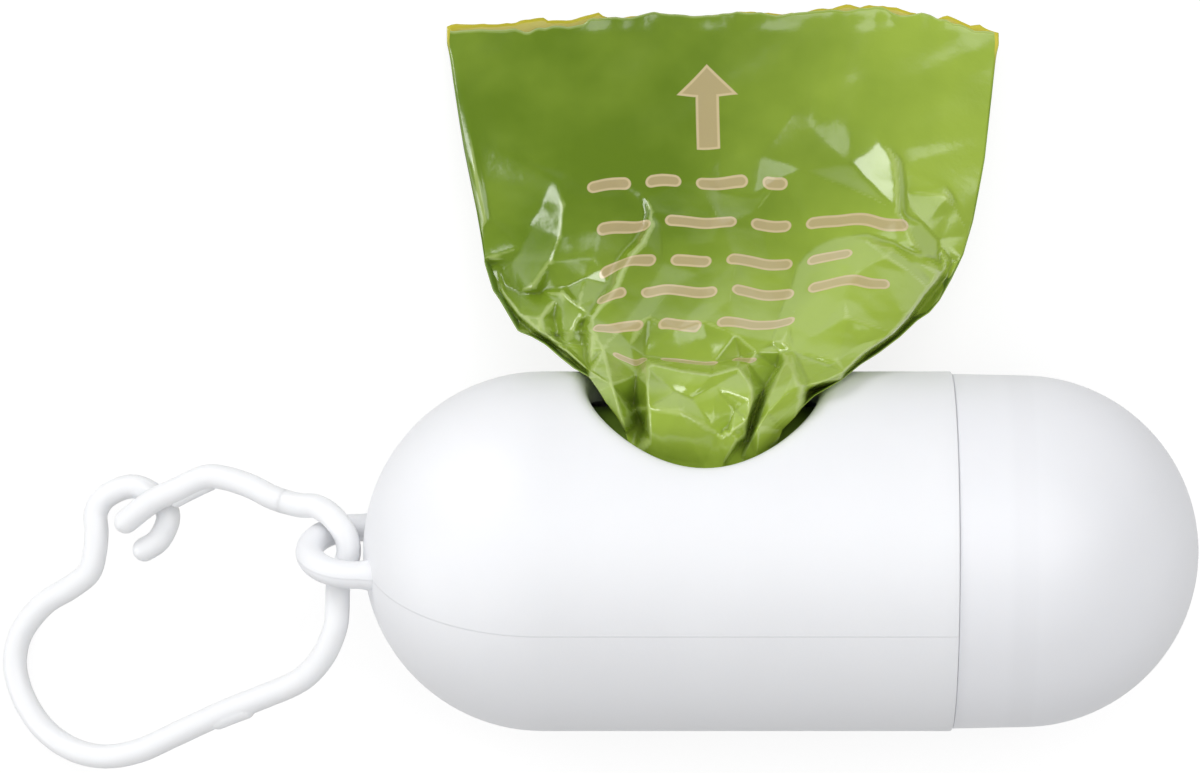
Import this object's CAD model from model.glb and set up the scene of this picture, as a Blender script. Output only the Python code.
"""Pocket dispenser for pet waste bags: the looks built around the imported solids.

The capsule lies on its side on a pale floor, the hook clip hangs in the eye on its round end and
the first bag of the roll is drawn out through the hole in its side. Lengths are written in
millimetres and become metres where a mesh is made.
"""

import logging
import math
from collections.abc import Callable, Iterator, Sequence
from contextlib import contextmanager
from dataclasses import dataclass
from enum import Enum
from functools import partial

import bmesh
import bpy
import numpy as np
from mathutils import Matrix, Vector
from mathutils.geometry import delaunay_2d_cdt


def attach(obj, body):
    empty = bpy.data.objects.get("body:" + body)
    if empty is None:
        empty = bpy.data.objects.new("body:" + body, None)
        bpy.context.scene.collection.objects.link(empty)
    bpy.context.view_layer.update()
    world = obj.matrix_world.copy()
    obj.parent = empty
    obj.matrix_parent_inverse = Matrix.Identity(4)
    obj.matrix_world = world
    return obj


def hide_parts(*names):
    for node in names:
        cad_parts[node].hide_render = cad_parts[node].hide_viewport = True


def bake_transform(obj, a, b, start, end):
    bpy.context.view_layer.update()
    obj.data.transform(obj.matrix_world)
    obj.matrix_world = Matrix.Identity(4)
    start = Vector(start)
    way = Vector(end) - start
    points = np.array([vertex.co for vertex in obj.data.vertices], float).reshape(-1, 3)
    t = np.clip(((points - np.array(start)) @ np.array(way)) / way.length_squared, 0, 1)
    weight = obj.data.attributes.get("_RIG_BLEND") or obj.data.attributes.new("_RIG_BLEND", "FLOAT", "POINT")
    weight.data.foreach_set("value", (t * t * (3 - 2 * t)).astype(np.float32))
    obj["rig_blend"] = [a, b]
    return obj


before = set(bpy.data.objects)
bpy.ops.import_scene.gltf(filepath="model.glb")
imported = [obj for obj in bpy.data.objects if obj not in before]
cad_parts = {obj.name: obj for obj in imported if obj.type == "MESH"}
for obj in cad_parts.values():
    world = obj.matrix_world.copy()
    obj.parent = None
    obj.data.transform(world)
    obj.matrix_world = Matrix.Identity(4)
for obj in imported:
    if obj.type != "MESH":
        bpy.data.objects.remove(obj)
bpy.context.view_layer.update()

MM = 0.001  # one millimetre, in metres
WELD = 2e-6  # points nearer than this are one, in metres
SAME = 0.01  # radii nearer than this are one, in millimetres
log = logging.getLogger("dispenser")

Piece = bpy.types.Object
Tree = bpy.types.NodeTree
Socket = bpy.types.NodeSocket
Grid = np.ndarray
Pair = tuple[float, float]
Triple = tuple[float, float, float]
Point = Triple
Points = tuple[Point, ...]
Limits = tuple[float, float, float, float]


# --- Small tools ---


def linear(hex_colour: str) -> tuple[float, float, float, float]:
    """Turns an sRGB colour into the linear numbers that a shader takes.

    Args:
        hex_colour: the colour as "#RRGGBB".

    Returns:
        Red, green, blue and an alpha of 1.
    """
    parts = [int(hex_colour[i : i + 2], 16) / 255 for i in (1, 3, 5)]
    rgb = [c / 12.92 if c <= 0.04045 else ((c + 0.055) / 1.055) ** 2.4 for c in parts]
    return (rgb[0], rgb[1], rgb[2], 1.0)


def add_node(
    tree: Tree, kind: str, inputs: dict[str | int, object] | None = None, **settings: object
) -> bpy.types.bpy_prop_collection:
    """Adds a shader node with its settings, values and links.

    Args:
        tree: the node tree.
        kind: the node's type without its "ShaderNode" prefix.
        inputs: value or source socket for each input, by its name or number.
        **settings: the node's own properties, such as operation or blend_type.

    Returns:
        The node's outputs.
    """
    made = tree.nodes.new("ShaderNode" + kind)
    for key, value in settings.items():
        setattr(made, key, value)
    for key, value in (inputs or {}).items():
        if isinstance(value, Socket):
            tree.links.new(value, made.inputs[key])
        else:
            made.inputs[key].default_value = value
    return made.outputs


def ranged(limits: Sequence[float]) -> dict[str | int, object]:
    """Gives four limits, from low and high to low and high, as inputs of a range node."""
    return dict(enumerate(limits, 1))


def activate(piece: Piece) -> None:
    """Makes a piece the only selected and the active one.

    Args:
        piece: the piece.
    """
    bpy.ops.object.select_all(action="DESELECT")
    piece.select_set(True)
    bpy.context.view_layer.objects.active = piece


@contextmanager
def editing(piece: Piece) -> Iterator[None]:
    """Opens a piece in edit mode and leaves it again.

    Args:
        piece: the mesh object.

    Yields:
        Nothing: the operators act on the open mesh.
    """
    activate(piece)
    bpy.ops.object.mode_set(mode="EDIT")
    try:
        yield
    finally:
        bpy.ops.object.mode_set(mode="OBJECT")


def added(name: str, add: Callable[..., set[str]], **sizes: object) -> Piece:
    """Adds a primitive with nothing else selected, and names it.

    Args:
        name: name of the piece.
        add: the operator that adds the primitive.
        **sizes: the operator's settings.

    Returns:
        The piece.
    """
    bpy.ops.object.select_all(action="DESELECT")
    add(**sizes)
    piece = bpy.context.active_object
    piece.name = piece.data.name = name
    return piece


def emptied(owner: bpy.types.Material | bpy.types.World) -> Tree:
    """Gives a material's or a world's node tree, emptied.

    Args:
        owner: the material or the world.

    Returns:
        The tree.
    """
    owner.use_nodes = True
    owner.node_tree.nodes.clear()
    return owner.node_tree


def select(piece: Piece, kind: str, test: Callable[[object], bool]) -> int:
    """Selects elements of the open mesh by their place.

    Args:
        piece: the object in edit mode.
        kind: "VERT", "EDGE" or "FACE".
        test: says whether a bmesh element is wanted.

    Returns:
        How many were selected.
    """
    bpy.ops.mesh.select_mode(type=kind)
    bpy.ops.mesh.select_all(action="DESELECT")
    form = bmesh.from_edit_mesh(piece.data)
    elements = {"VERT": form.verts, "EDGE": form.edges, "FACE": form.faces}[kind]
    count = 0
    for element in elements:
        if test(element):
            element.select_set(True)
            count += 1
    form.select_flush_mode()
    bmesh.update_edit_mesh(piece.data)
    return count


def place_selected(piece: Piece, move: Callable[[object], Vector]) -> None:
    """Moves each selected vertex of the open mesh.

    Args:
        piece: the object in edit mode.
        move: gives a bmesh vertex's new place.
    """
    form = bmesh.from_edit_mesh(piece.data)
    for vertex in form.verts:
        if vertex.select:
            vertex.co = move(vertex)
    bmesh.update_edit_mesh(piece.data)


def closed_up(piece: Piece) -> None:
    """Merges the doubles of a finished closed mesh and turns its faces outwards.

    Args:
        piece: the closed piece.
    """
    with editing(piece):
        bpy.ops.mesh.select_mode(type="VERT")
        bpy.ops.mesh.select_all(action="SELECT")
        bpy.ops.mesh.remove_doubles(threshold=WELD)
        bpy.ops.mesh.normals_make_consistent(inside=False)


def smooth(piece: Piece, angle_deg: float = 35.0) -> None:
    """Shades a piece smooth but for its sharp edges."""
    activate(piece)
    bpy.ops.object.shade_smooth_by_angle(angle=math.radians(angle_deg))


def joined_by_union(piece: Piece, others: Sequence[Piece]) -> None:
    """Unites other solids with a piece and removes them.

    Args:
        piece: the mesh that stays.
        others: the solids that become part of it.
    """
    for other in others:
        activate(piece)
        union = piece.modifiers.new("union", "BOOLEAN")
        union.operation, union.solver, union.object = "UNION", "EXACT", other
        bpy.ops.object.modifier_apply(modifier=union.name)
        bpy.data.objects.remove(other)


# --- Sizes that the pieces share ---


@dataclass(frozen=True)
class Capsule:
    """Sizes of the body and the cap, as the solids have them.

    Lengths run from the middle of the body's round end towards the cap; angles run from the top
    round to the side where the bag comes out.
    """

    dome_x: float = -5.0898
    axis_y: float = -16.375
    axis_z: float = 18.2309
    body_r: float = 18.2309
    bore_r: float = 15.1809
    roll_r: float = 14.6809
    tube: float = 41.3661
    neck: float = 7.8
    neck_r: float = 15.9809
    thread_x: float = 42.6411
    thread_pitch: float = 3.0
    thread_turns: float = 1.75
    thread_depth: float = 0.5
    thread_foot: float = 1.1
    thread_run_in_deg: float = 45.0
    cap_end: float = 48.6161
    cap_seam_r: float = 17.9809
    cap_r: float = 17.8309
    cap_bore_r: float = 16.6809
    hole_x: float = 16.2
    hole_deg: float = 70.0
    parting_deg: float = -29.0
    line_deg: float = -26.3

    def point(self, along: float, radius: float, angle_deg: float) -> Vector:
        """Gives a place in the row's frame, in metres.

        Args:
            along: length from the middle of the round end.
            radius: distance from the capsule's axis.
            angle_deg: turn from the top towards the bag's side.

        Returns:
            The place.
        """
        a = math.radians(angle_deg)
        return self.across(along, radius * math.sin(a), radius * math.cos(a))

    def across(self, along: float, side: float, up: float) -> Vector:
        """Gives a place from lengths along, sideways and up from the axis."""
        return Vector((self.dome_x + along, self.axis_y + side, self.axis_z + up)) * MM

    def polar(self, place: Vector) -> Triple:
        """Gives the length, radius and angle in degrees of a place.

        Args:
            place: a place in the row's frame, in metres.

        Returns:
            The length, the radius and the angle from the top.
        """
        side, up = place.y / MM - self.axis_y, place.z / MM - self.axis_z
        return place.x / MM - self.dome_x, math.hypot(side, up), math.degrees(math.atan2(side, up))

    def from_hole(self, angle_deg: float) -> float:
        """Counts an angle from the hole's direction, from -180 to 180 degrees."""
        return (angle_deg - self.hole_deg + 180.0) % 360.0 - 180.0

    def ridge(self, along: float, angle_deg: float, turned_deg: float = 0.0) -> float:
        """Gives the share of the thread's height at a place on its wall.

        Args:
            along: length from the middle of the round end.
            angle_deg: angle of the place from the top.
            turned_deg: turn of the whole thread round the axis.

        Returns:
            From 0 between the turns to 1 on the crest.
        """
        total = 360.0 * self.thread_turns
        first, best = (180.0 - angle_deg - turned_deg) % 360.0, 0.0
        for turn in range(int(self.thread_turns) + 1):
            a = first + 360.0 * turn
            off = abs(along - self.thread_x - self.thread_pitch * a / 360.0)
            end = min(a, total - a)
            flank = min(1.0, max(0.0, (self.thread_foot / 2 - off) / (self.thread_foot / 4)))
            best = max(best, flank * min(1.0, max(0.0, end / self.thread_run_in_deg)))
        return best * best * (3 - 2 * best)


CAPSULE = Capsule()


def arc(centre: Pair, radius: float, start_deg: float, end_deg: float, steps: int) -> list[Pair]:
    """Gives points of an arc for a profile.

    Args:
        centre: along and radial place of the arc's centre.
        radius: the arc's radius.
        start_deg: start angle, from the way along towards the way out.
        end_deg: end angle.
        steps: number of steps between them.

    Returns:
        steps + 1 points, each (along, radius).
    """
    angles = [math.radians(start_deg + (end_deg - start_deg) * i / steps) for i in range(steps + 1)]
    return [(centre[0] + radius * math.cos(a), centre[1] + radius * math.sin(a)) for a in angles]


def line(start: Pair, end: Pair, steps: int) -> list[Pair]:
    """Gives steps points of a straight stretch of a profile, without its first point."""
    return [
        (start[0] + (end[0] - start[0]) * i / steps, start[1] + (end[1] - start[1]) * i / steps)
        for i in range(1, steps + 1)
    ]


def lathe(name: str, profile: Sequence[Pair], columns: int) -> Piece:
    """Shapes a circle of points into a profile and spins it round the capsule's axis.

    Args:
        name: name of the piece.
        profile: (along, radius) points from one pole to the other.
        columns: number of steps round.

    Returns:
        The closed piece, with one column of points in the middle of the hole.
    """
    circle = bpy.ops.mesh.primitive_circle_add
    piece = added(name, circle, vertices=len(profile), radius=1.0, fill_type="NOTHING")
    with editing(piece):
        last = len(profile) - 1
        select(piece, "EDGE", lambda e: {v.index for v in e.verts} == {0, last})
        bpy.ops.mesh.delete(type="EDGE")
        select(piece, "VERT", lambda v: True)
        place_selected(piece, lambda v: CAPSULE.point(*profile[v.index], CAPSULE.hole_deg))
        bpy.ops.mesh.spin(
            steps=columns,
            angle=math.tau,
            use_auto_merge=True,
            center=CAPSULE.across(0.0, 0.0, 0.0),
            axis=(1.0, 0.0, 0.0),
        )
    closed_up(piece)
    return piece


def thread_wall(
    piece: Piece,
    stretch: Pair,
    wall_r: float,
    height: float,
    turned_deg: float = 0.0,
) -> None:
    """Draws the skin of a turned wall out into the thread's helical ridge.

    Args:
        piece: the turned piece.
        stretch: where the wall starts and ends along the capsule.
        wall_r: the wall's radius.
        height: how far the crest stands out, below zero on a wall that faces inwards.
        turned_deg: turn of the whole thread round the axis.
    """
    c = CAPSULE

    def on_wall(vertex: bmesh.types.BMVert) -> bool:
        """Says whether a vertex lies on the wall."""
        along, radius, _ = c.polar(vertex.co)
        return stretch[0] < along < stretch[1] and abs(radius - wall_r) < SAME

    def lifted(vertex: bmesh.types.BMVert) -> Vector:
        """Gives a vertex's place on the ridge."""
        along, radius, angle = c.polar(vertex.co)
        return c.point(along, radius + height * c.ridge(along, angle, turned_deg), angle)

    with editing(piece):
        select(piece, "VERT", on_wall)
        place_selected(piece, lifted)


@dataclass(frozen=True)
class Station:
    """One ring of a swept rod: its middle and radius in millimetres, and its direction."""

    at: Vector
    way: Vector
    radius: float


def swept(name: str, stations: Sequence[Station], sides: int = 28) -> Piece:
    """Extrudes a disc from station to station.

    Args:
        name: name of the piece.
        stations: the rings, in the row's frame.
        sides: corners of a ring.

    Returns:
        The closed rod.
    """
    disc = bpy.ops.mesh.primitive_circle_add
    piece = added(name, disc, vertices=sides, radius=1.0, fill_type="NGON")
    circle = [v.co.copy() for v in piece.data.vertices]
    way = stations[0].way
    turn = Vector((0, 0, 1)).rotation_difference(way)
    with editing(piece):
        form = bmesh.from_edit_mesh(piece.data)
        slot = form.verts.layers.int.new("corner")
        for i, vertex in enumerate(form.verts):
            vertex[slot] = i
        bmesh.update_edit_mesh(piece.data)
        bpy.ops.mesh.select_mode(type="FACE")
        bpy.ops.mesh.select_all(action="SELECT")
        for number, station in enumerate(stations):
            if number:
                bpy.ops.mesh.extrude_region_move(TRANSFORM_OT_translate={"value": (0, 0, 0)})
            turn = way.rotation_difference(station.way) @ turn
            way = station.way
            form = bmesh.from_edit_mesh(piece.data)
            slot = form.verts.layers.int["corner"]
            for vertex in form.verts:
                if vertex.select:
                    vertex.co = (station.at + turn @ circle[vertex[slot]] * station.radius) * MM
            bmesh.update_edit_mesh(piece.data)
    piece.data.attributes.remove(piece.data.attributes["corner"])
    closed_up(piece)
    return piece


def spline(route: Sequence[Vector], steps: int) -> list[Vector]:
    """Runs a Catmull-Rom curve through the points of a route.

    Args:
        route: the points.
        steps: steps between two points.

    Returns:
        The points of the curve.
    """
    made = []
    for i in range(len(route) - 1):
        a, b, c, d = (route[min(max(i + k, 0), len(route) - 1)] for k in (-1, 0, 1, 2))
        for k in range(steps):
            t = k / steps
            made.append(
                b
                + (c - a) * (t / 2)
                + (a - 2.5 * b + 2 * c - d / 2) * t * t
                + (b - c + (d - a) / 3) * 1.5 * t**3
            )
    made.append(route[-1].copy())
    return made


def rod_stations(path: Sequence[Vector], radius: float) -> list[Station]:
    """Gives a station at each point of a path, facing along it."""
    last = len(path) - 1
    return [
        Station(p, (path[min(i + 1, last)] - path[max(i - 1, 0)]).normalized(), radius)
        for i, p in enumerate(path)
    ]


TIP_DEGREES = (20, 38, 54, 68, 79, 86)  # where the rings of a round end lie on its quarter circle


def round_tip(end: Station) -> list[Station]:
    """Gives the stations of a round end past the last one."""
    return [
        Station(end.at + end.way * end.radius * math.sin(a), end.way, end.radius * math.cos(a))
        for a in (math.radians(d) for d in TIP_DEGREES)
    ]


# --- Finishes ---


class Slot(Enum):
    """The record's material slots that the new pieces take."""

    BODY = "body_white"
    CAP = "cap_translucent"
    CLIP = "clip_white"
    FILM = "film_green"


@dataclass(frozen=True)
class Finish:
    """A material made of nodes: what its makers share."""

    name: str
    colour: str
    roughness: float
    ior: float

    def material(self) -> bpy.types.Material:
        """Gives the finish's material, made at its first use.

        Returns:
            The material.
        """
        found = bpy.data.materials.get(self.name)
        if found:
            return found
        made = bpy.data.materials.new(self.name)
        tree = emptied(made)
        shader = add_node(
            tree,
            "BsdfPrincipled",
            {"Base Color": linear(self.colour), "Roughness": self.roughness, "IOR": self.ior},
        )[0].node
        add_node(tree, "OutputMaterial", {"Surface": shader.outputs[0]})
        self.dress(tree, shader)
        return made

    def dress(self, tree: Tree, shader: bpy.types.Node) -> None:
        """Adds the finish's own detail; a plain finish has none."""

    @staticmethod
    def place(tree: Tree) -> Socket:
        """Gives object coordinates counted from the middle of the capsule's round end.

        Args:
            tree: the node tree.

        Returns:
            The vector socket.
        """
        where = add_node(tree, "TexCoord")["Object"]
        centre = CAPSULE.across(0.0, 0.0, 0.0)
        return add_node(tree, "Mapping", {"Vector": where, "Location": -centre})[0]


@dataclass(frozen=True)
class MouldedPolypropylene(Finish):
    """Injection-moulded polypropylene: waxy, lets a little light in, with the mould's grain.

    The eye sees a soft sheen with no sharp reflections, faint clouding where the melt flowed,
    and on the body the fine raised line where the mould's halves met.
    """

    grain_mm: float = 0.35
    grain_depth_mm: float = 0.006
    cloud_mm: float = 9.0
    cloud_tones: Pair = (0.975, 1.015)
    sheen: Pair = (-0.04, 0.05)
    glow_mm: float = 1.2
    glow_colour: Triple = (1.0, 0.95, 0.9)
    glow: float = 0.2
    clearness: float = 0.0
    parting: bool = False
    line_mm: float = 0.16
    line_rise_mm: float = 0.02
    line_share: float = 0.06
    line_colour: str = "#8E929A"
    step_mm: float = 0.12
    step_rise_mm: float = 0.03
    bands: tuple[Triple, ...] = ()
    band_blur_mm: float = 0.35

    def dress(self, tree: Tree, shader: bpy.types.Node) -> None:
        """Adds clouding, grain, glow and the parting line.

        Args:
            tree: the node tree.
            shader: its Principled shader.
        """
        shader.inputs["Subsurface Weight"].default_value = self.glow
        shader.inputs["Subsurface Radius"].default_value = self.glow_colour
        shader.inputs["Subsurface Scale"].default_value = self.glow_mm * MM
        shader.inputs["Transmission Weight"].default_value = self.clearness
        where = self.place(tree)
        cloud = add_node(
            tree, "TexNoise", {"Vector": where, "Scale": 1 / (self.cloud_mm * MM), "Detail": 3.0}
        )["Fac"]
        rgb = linear(self.colour)
        dark, light = (tuple(min(1.0, c * tone) for c in rgb[:3]) + (1.0,) for tone in self.cloud_tones)
        tint = add_node(tree, "Mix", {0: cloud, 6: dark, 7: light}, data_type="RGBA")[2]
        glossy, dull = (self.roughness + change for change in self.sheen)
        sheen = add_node(tree, "MapRange", {0: cloud, 3: glossy, 4: dull})[0]
        tree.links.new(sheen, shader.inputs["Roughness"])
        grain = add_node(
            tree, "TexNoise", {"Vector": where, "Scale": 1 / (self.grain_mm * MM), "Detail": 2.0}
        )["Fac"]
        height = add_node(tree, "Math", {0: grain, 1: self.grain_depth_mm * MM}, operation="MULTIPLY")[0]
        if self.parting:
            tint, height = self.parted(tree, where, tint, height)
        for first, last, tone in self.bands:
            tint = self.banded(tree, where, tint, first, last, tone)
        tree.links.new(tint, shader.inputs["Base Color"])
        bump = add_node(tree, "Bump", {"Strength": 1.0, "Distance": 1.0, "Height": height})
        tree.links.new(bump[0], shader.inputs["Normal"])

    def parted(self, tree: Tree, where: Socket, tint: Socket, height: Socket) -> tuple[Socket, Socket]:
        """Draws the line where the mould's halves met: a fine ridge on a finer step.

        Args:
            tree: the node tree.
            where: the place from the middle of the round end.
            tint: the colour so far.
            height: the surface's height so far.

        Returns:
            The colour and the height with the line.
        """
        a = math.radians(CAPSULE.line_deg)
        across = add_node(
            tree,
            "VectorMath",
            {0: where, 1: (0.0, math.cos(a), -math.sin(a))},
            operation="DOT_PRODUCT",
        )["Value"]
        near = add_node(tree, "Math", {0: across}, operation="ABSOLUTE")[0]
        line_, step, rise = self.line_mm * MM, self.step_mm * MM, self.step_rise_mm * MM
        witness = add_node(
            tree,
            "MapRange",
            {0: near, 1: 0.0, 2: line_, 3: 1.0, 4: 0.0},
            interpolation_type="SMOOTHSTEP",
        )[0]
        stepped = add_node(
            tree,
            "MapRange",
            {0: across, 1: -step, 2: step, 3: 0.0, 4: rise},
            interpolation_type="SMOOTHSTEP",
        )[0]
        raised = add_node(
            tree,
            "Math",
            {0: witness, 1: self.line_rise_mm * MM, 2: stepped},
            operation="MULTIPLY_ADD",
        )[0]
        height = add_node(tree, "Math", {0: height, 1: raised}, operation="ADD")[0]
        share = add_node(tree, "Math", {0: witness, 1: self.line_share}, operation="MULTIPLY")[0]
        tint = add_node(tree, "Mix", {0: share, 6: tint, 7: linear(self.line_colour)}, data_type="RGBA")[2]
        return tint, height

    def banded(
        self,
        tree: Tree,
        where: Socket,
        tint: Socket,
        first: float,
        last: float,
        tone: float,
    ) -> Socket:
        """Tones a band round the capsule, where what lies behind the wall shows through.

        Args:
            tree: the node tree.
            where: the place from the middle of the round end.
            tint: the colour so far.
            first: where the band starts along the capsule, in millimetres.
            last: where it ends.
            tone: what the colour is multiplied by in it.

        Returns:
            The colour with its band.
        """
        along = add_node(tree, "SeparateXYZ", {0: where})[0]
        middle, half = (first + last) / 2 * MM, (last - first) / 2 * MM
        blur = self.band_blur_mm * MM
        off = add_node(tree, "Math", {0: along, 1: middle}, operation="SUBTRACT")[0]
        off = add_node(tree, "Math", {0: off}, operation="ABSOLUTE")[0]
        share = add_node(
            tree,
            "MapRange",
            {0: off, 1: half - blur, 2: half + blur, 3: tone, 4: 1.0},
            interpolation_type="SMOOTHSTEP",
        )[0]
        return add_node(tree, "VectorMath", {0: tint, "Scale": share}, operation="SCALE")[0]


@dataclass(frozen=True)
class SpiralCard(Finish):
    """Spiral-wound grey-brown card: dull and fibrous, with the butt joint of its ply."""

    ply_mm: float = 11.0
    joint_share: float = 0.05
    joint_colour: str = "#5E4A35"
    pulp_colour: str = "#8C7357"
    fibre_mm: float = 0.5
    fibre_depth_mm: float = 0.04

    def dress(self, tree: Tree, shader: bpy.types.Node) -> None:
        """Adds fibres and the helical joint.

        Args:
            tree: the node tree.
            shader: its Principled shader.
        """
        where = self.place(tree)
        parts = add_node(tree, "SeparateXYZ", {0: where})
        turn = add_node(tree, "Math", {0: parts[1], 1: parts[2]}, operation="ARCTAN2")[0]
        along = add_node(tree, "Math", {0: parts[0], 1: 1 / (self.ply_mm * MM)}, operation="MULTIPLY")[0]
        helix = add_node(tree, "Math", {0: turn, 1: 1 / math.tau, 2: along}, operation="MULTIPLY_ADD")[0]
        share = add_node(tree, "Math", {0: helix}, operation="FRACT")[0]
        joint = add_node(tree, "MapRange", {0: share, 1: 0.0, 2: self.joint_share, 3: 1.0, 4: 0.0})[0]
        fibre = add_node(
            tree, "TexNoise", {"Vector": where, "Scale": 1 / (self.fibre_mm * MM), "Detail": 6.0}
        )["Fac"]
        pulp = add_node(
            tree,
            "Mix",
            {0: fibre, 6: linear(self.pulp_colour), 7: linear(self.colour)},
            data_type="RGBA",
        )[2]
        tint = add_node(
            tree, "Mix", {0: joint, 6: pulp, 7: linear(self.joint_colour)}, data_type="RGBA"
        )[2]
        tree.links.new(tint, shader.inputs["Base Color"])
        height = add_node(tree, "Math", {0: fibre, 1: self.fibre_depth_mm * MM}, operation="MULTIPLY")[0]
        bump = add_node(tree, "Bump", {"Strength": 1.0, "Distance": 1.0, "Height": height})
        tree.links.new(bump[0], shader.inputs["Normal"])


@dataclass(frozen=True)
class WoundFilm(Finish):
    """Blown film wound tight: glossy turns, and fine rings of layer edges on the roll's ends.

    A turn of eight layers is 0.11 mm thick, too fine to show, so the rings lie 0.3 mm apart.
    """

    ring_mm: float = 0.3
    ring_colour: str = "#4D6420"
    ring_share: float = 0.5
    wobble_mm: float = 4.0

    def dress(self, tree: Tree, shader: bpy.types.Node) -> None:
        """Adds rings round the axis, a little out of true.

        Args:
            tree: the node tree.
            shader: its Principled shader.
        """
        where = self.place(tree)
        round_axis = add_node(tree, "VectorMath", {0: where, 1: (0.0, 1.0, 1.0)}, operation="MULTIPLY")[0]
        radius = add_node(tree, "VectorMath", {0: round_axis}, operation="LENGTH")["Value"]
        wobble = add_node(
            tree, "TexNoise", {"Vector": where, "Scale": 1 / (self.wobble_mm * MM), "Detail": 2.0}
        )["Fac"]
        phase = add_node(
            tree,
            "Math",
            {0: radius, 1: math.tau / (self.ring_mm * MM), 2: wobble},
            operation="MULTIPLY_ADD",
        )[0]
        wave = add_node(tree, "Math", {0: phase}, operation="SINE")[0]
        share = add_node(tree, "MapRange", {0: wave, 1: -1.0, 2: 1.0, 3: 0.0, 4: self.ring_share})[0]
        tint = add_node(
            tree,
            "Mix",
            {0: share, 6: linear(self.colour), 7: linear(self.ring_colour)},
            data_type="RGBA",
        )[2]
        tree.links.new(tint, shader.inputs["Base Color"])


FLAT_MAP = "FlatFilm"  # UV map of the places on the flat film
FLAT_UNIT = 100.0  # millimetres of film in one unit of that map
BEND_MAP = "bend"  # attribute that is above 0 on ridges and below 0 in gullies


@dataclass(frozen=True)
class Dash:
    """One printed dash on the flat film, in millimetres from its middle and its torn end."""

    across: float
    down: float
    half: float


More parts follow.
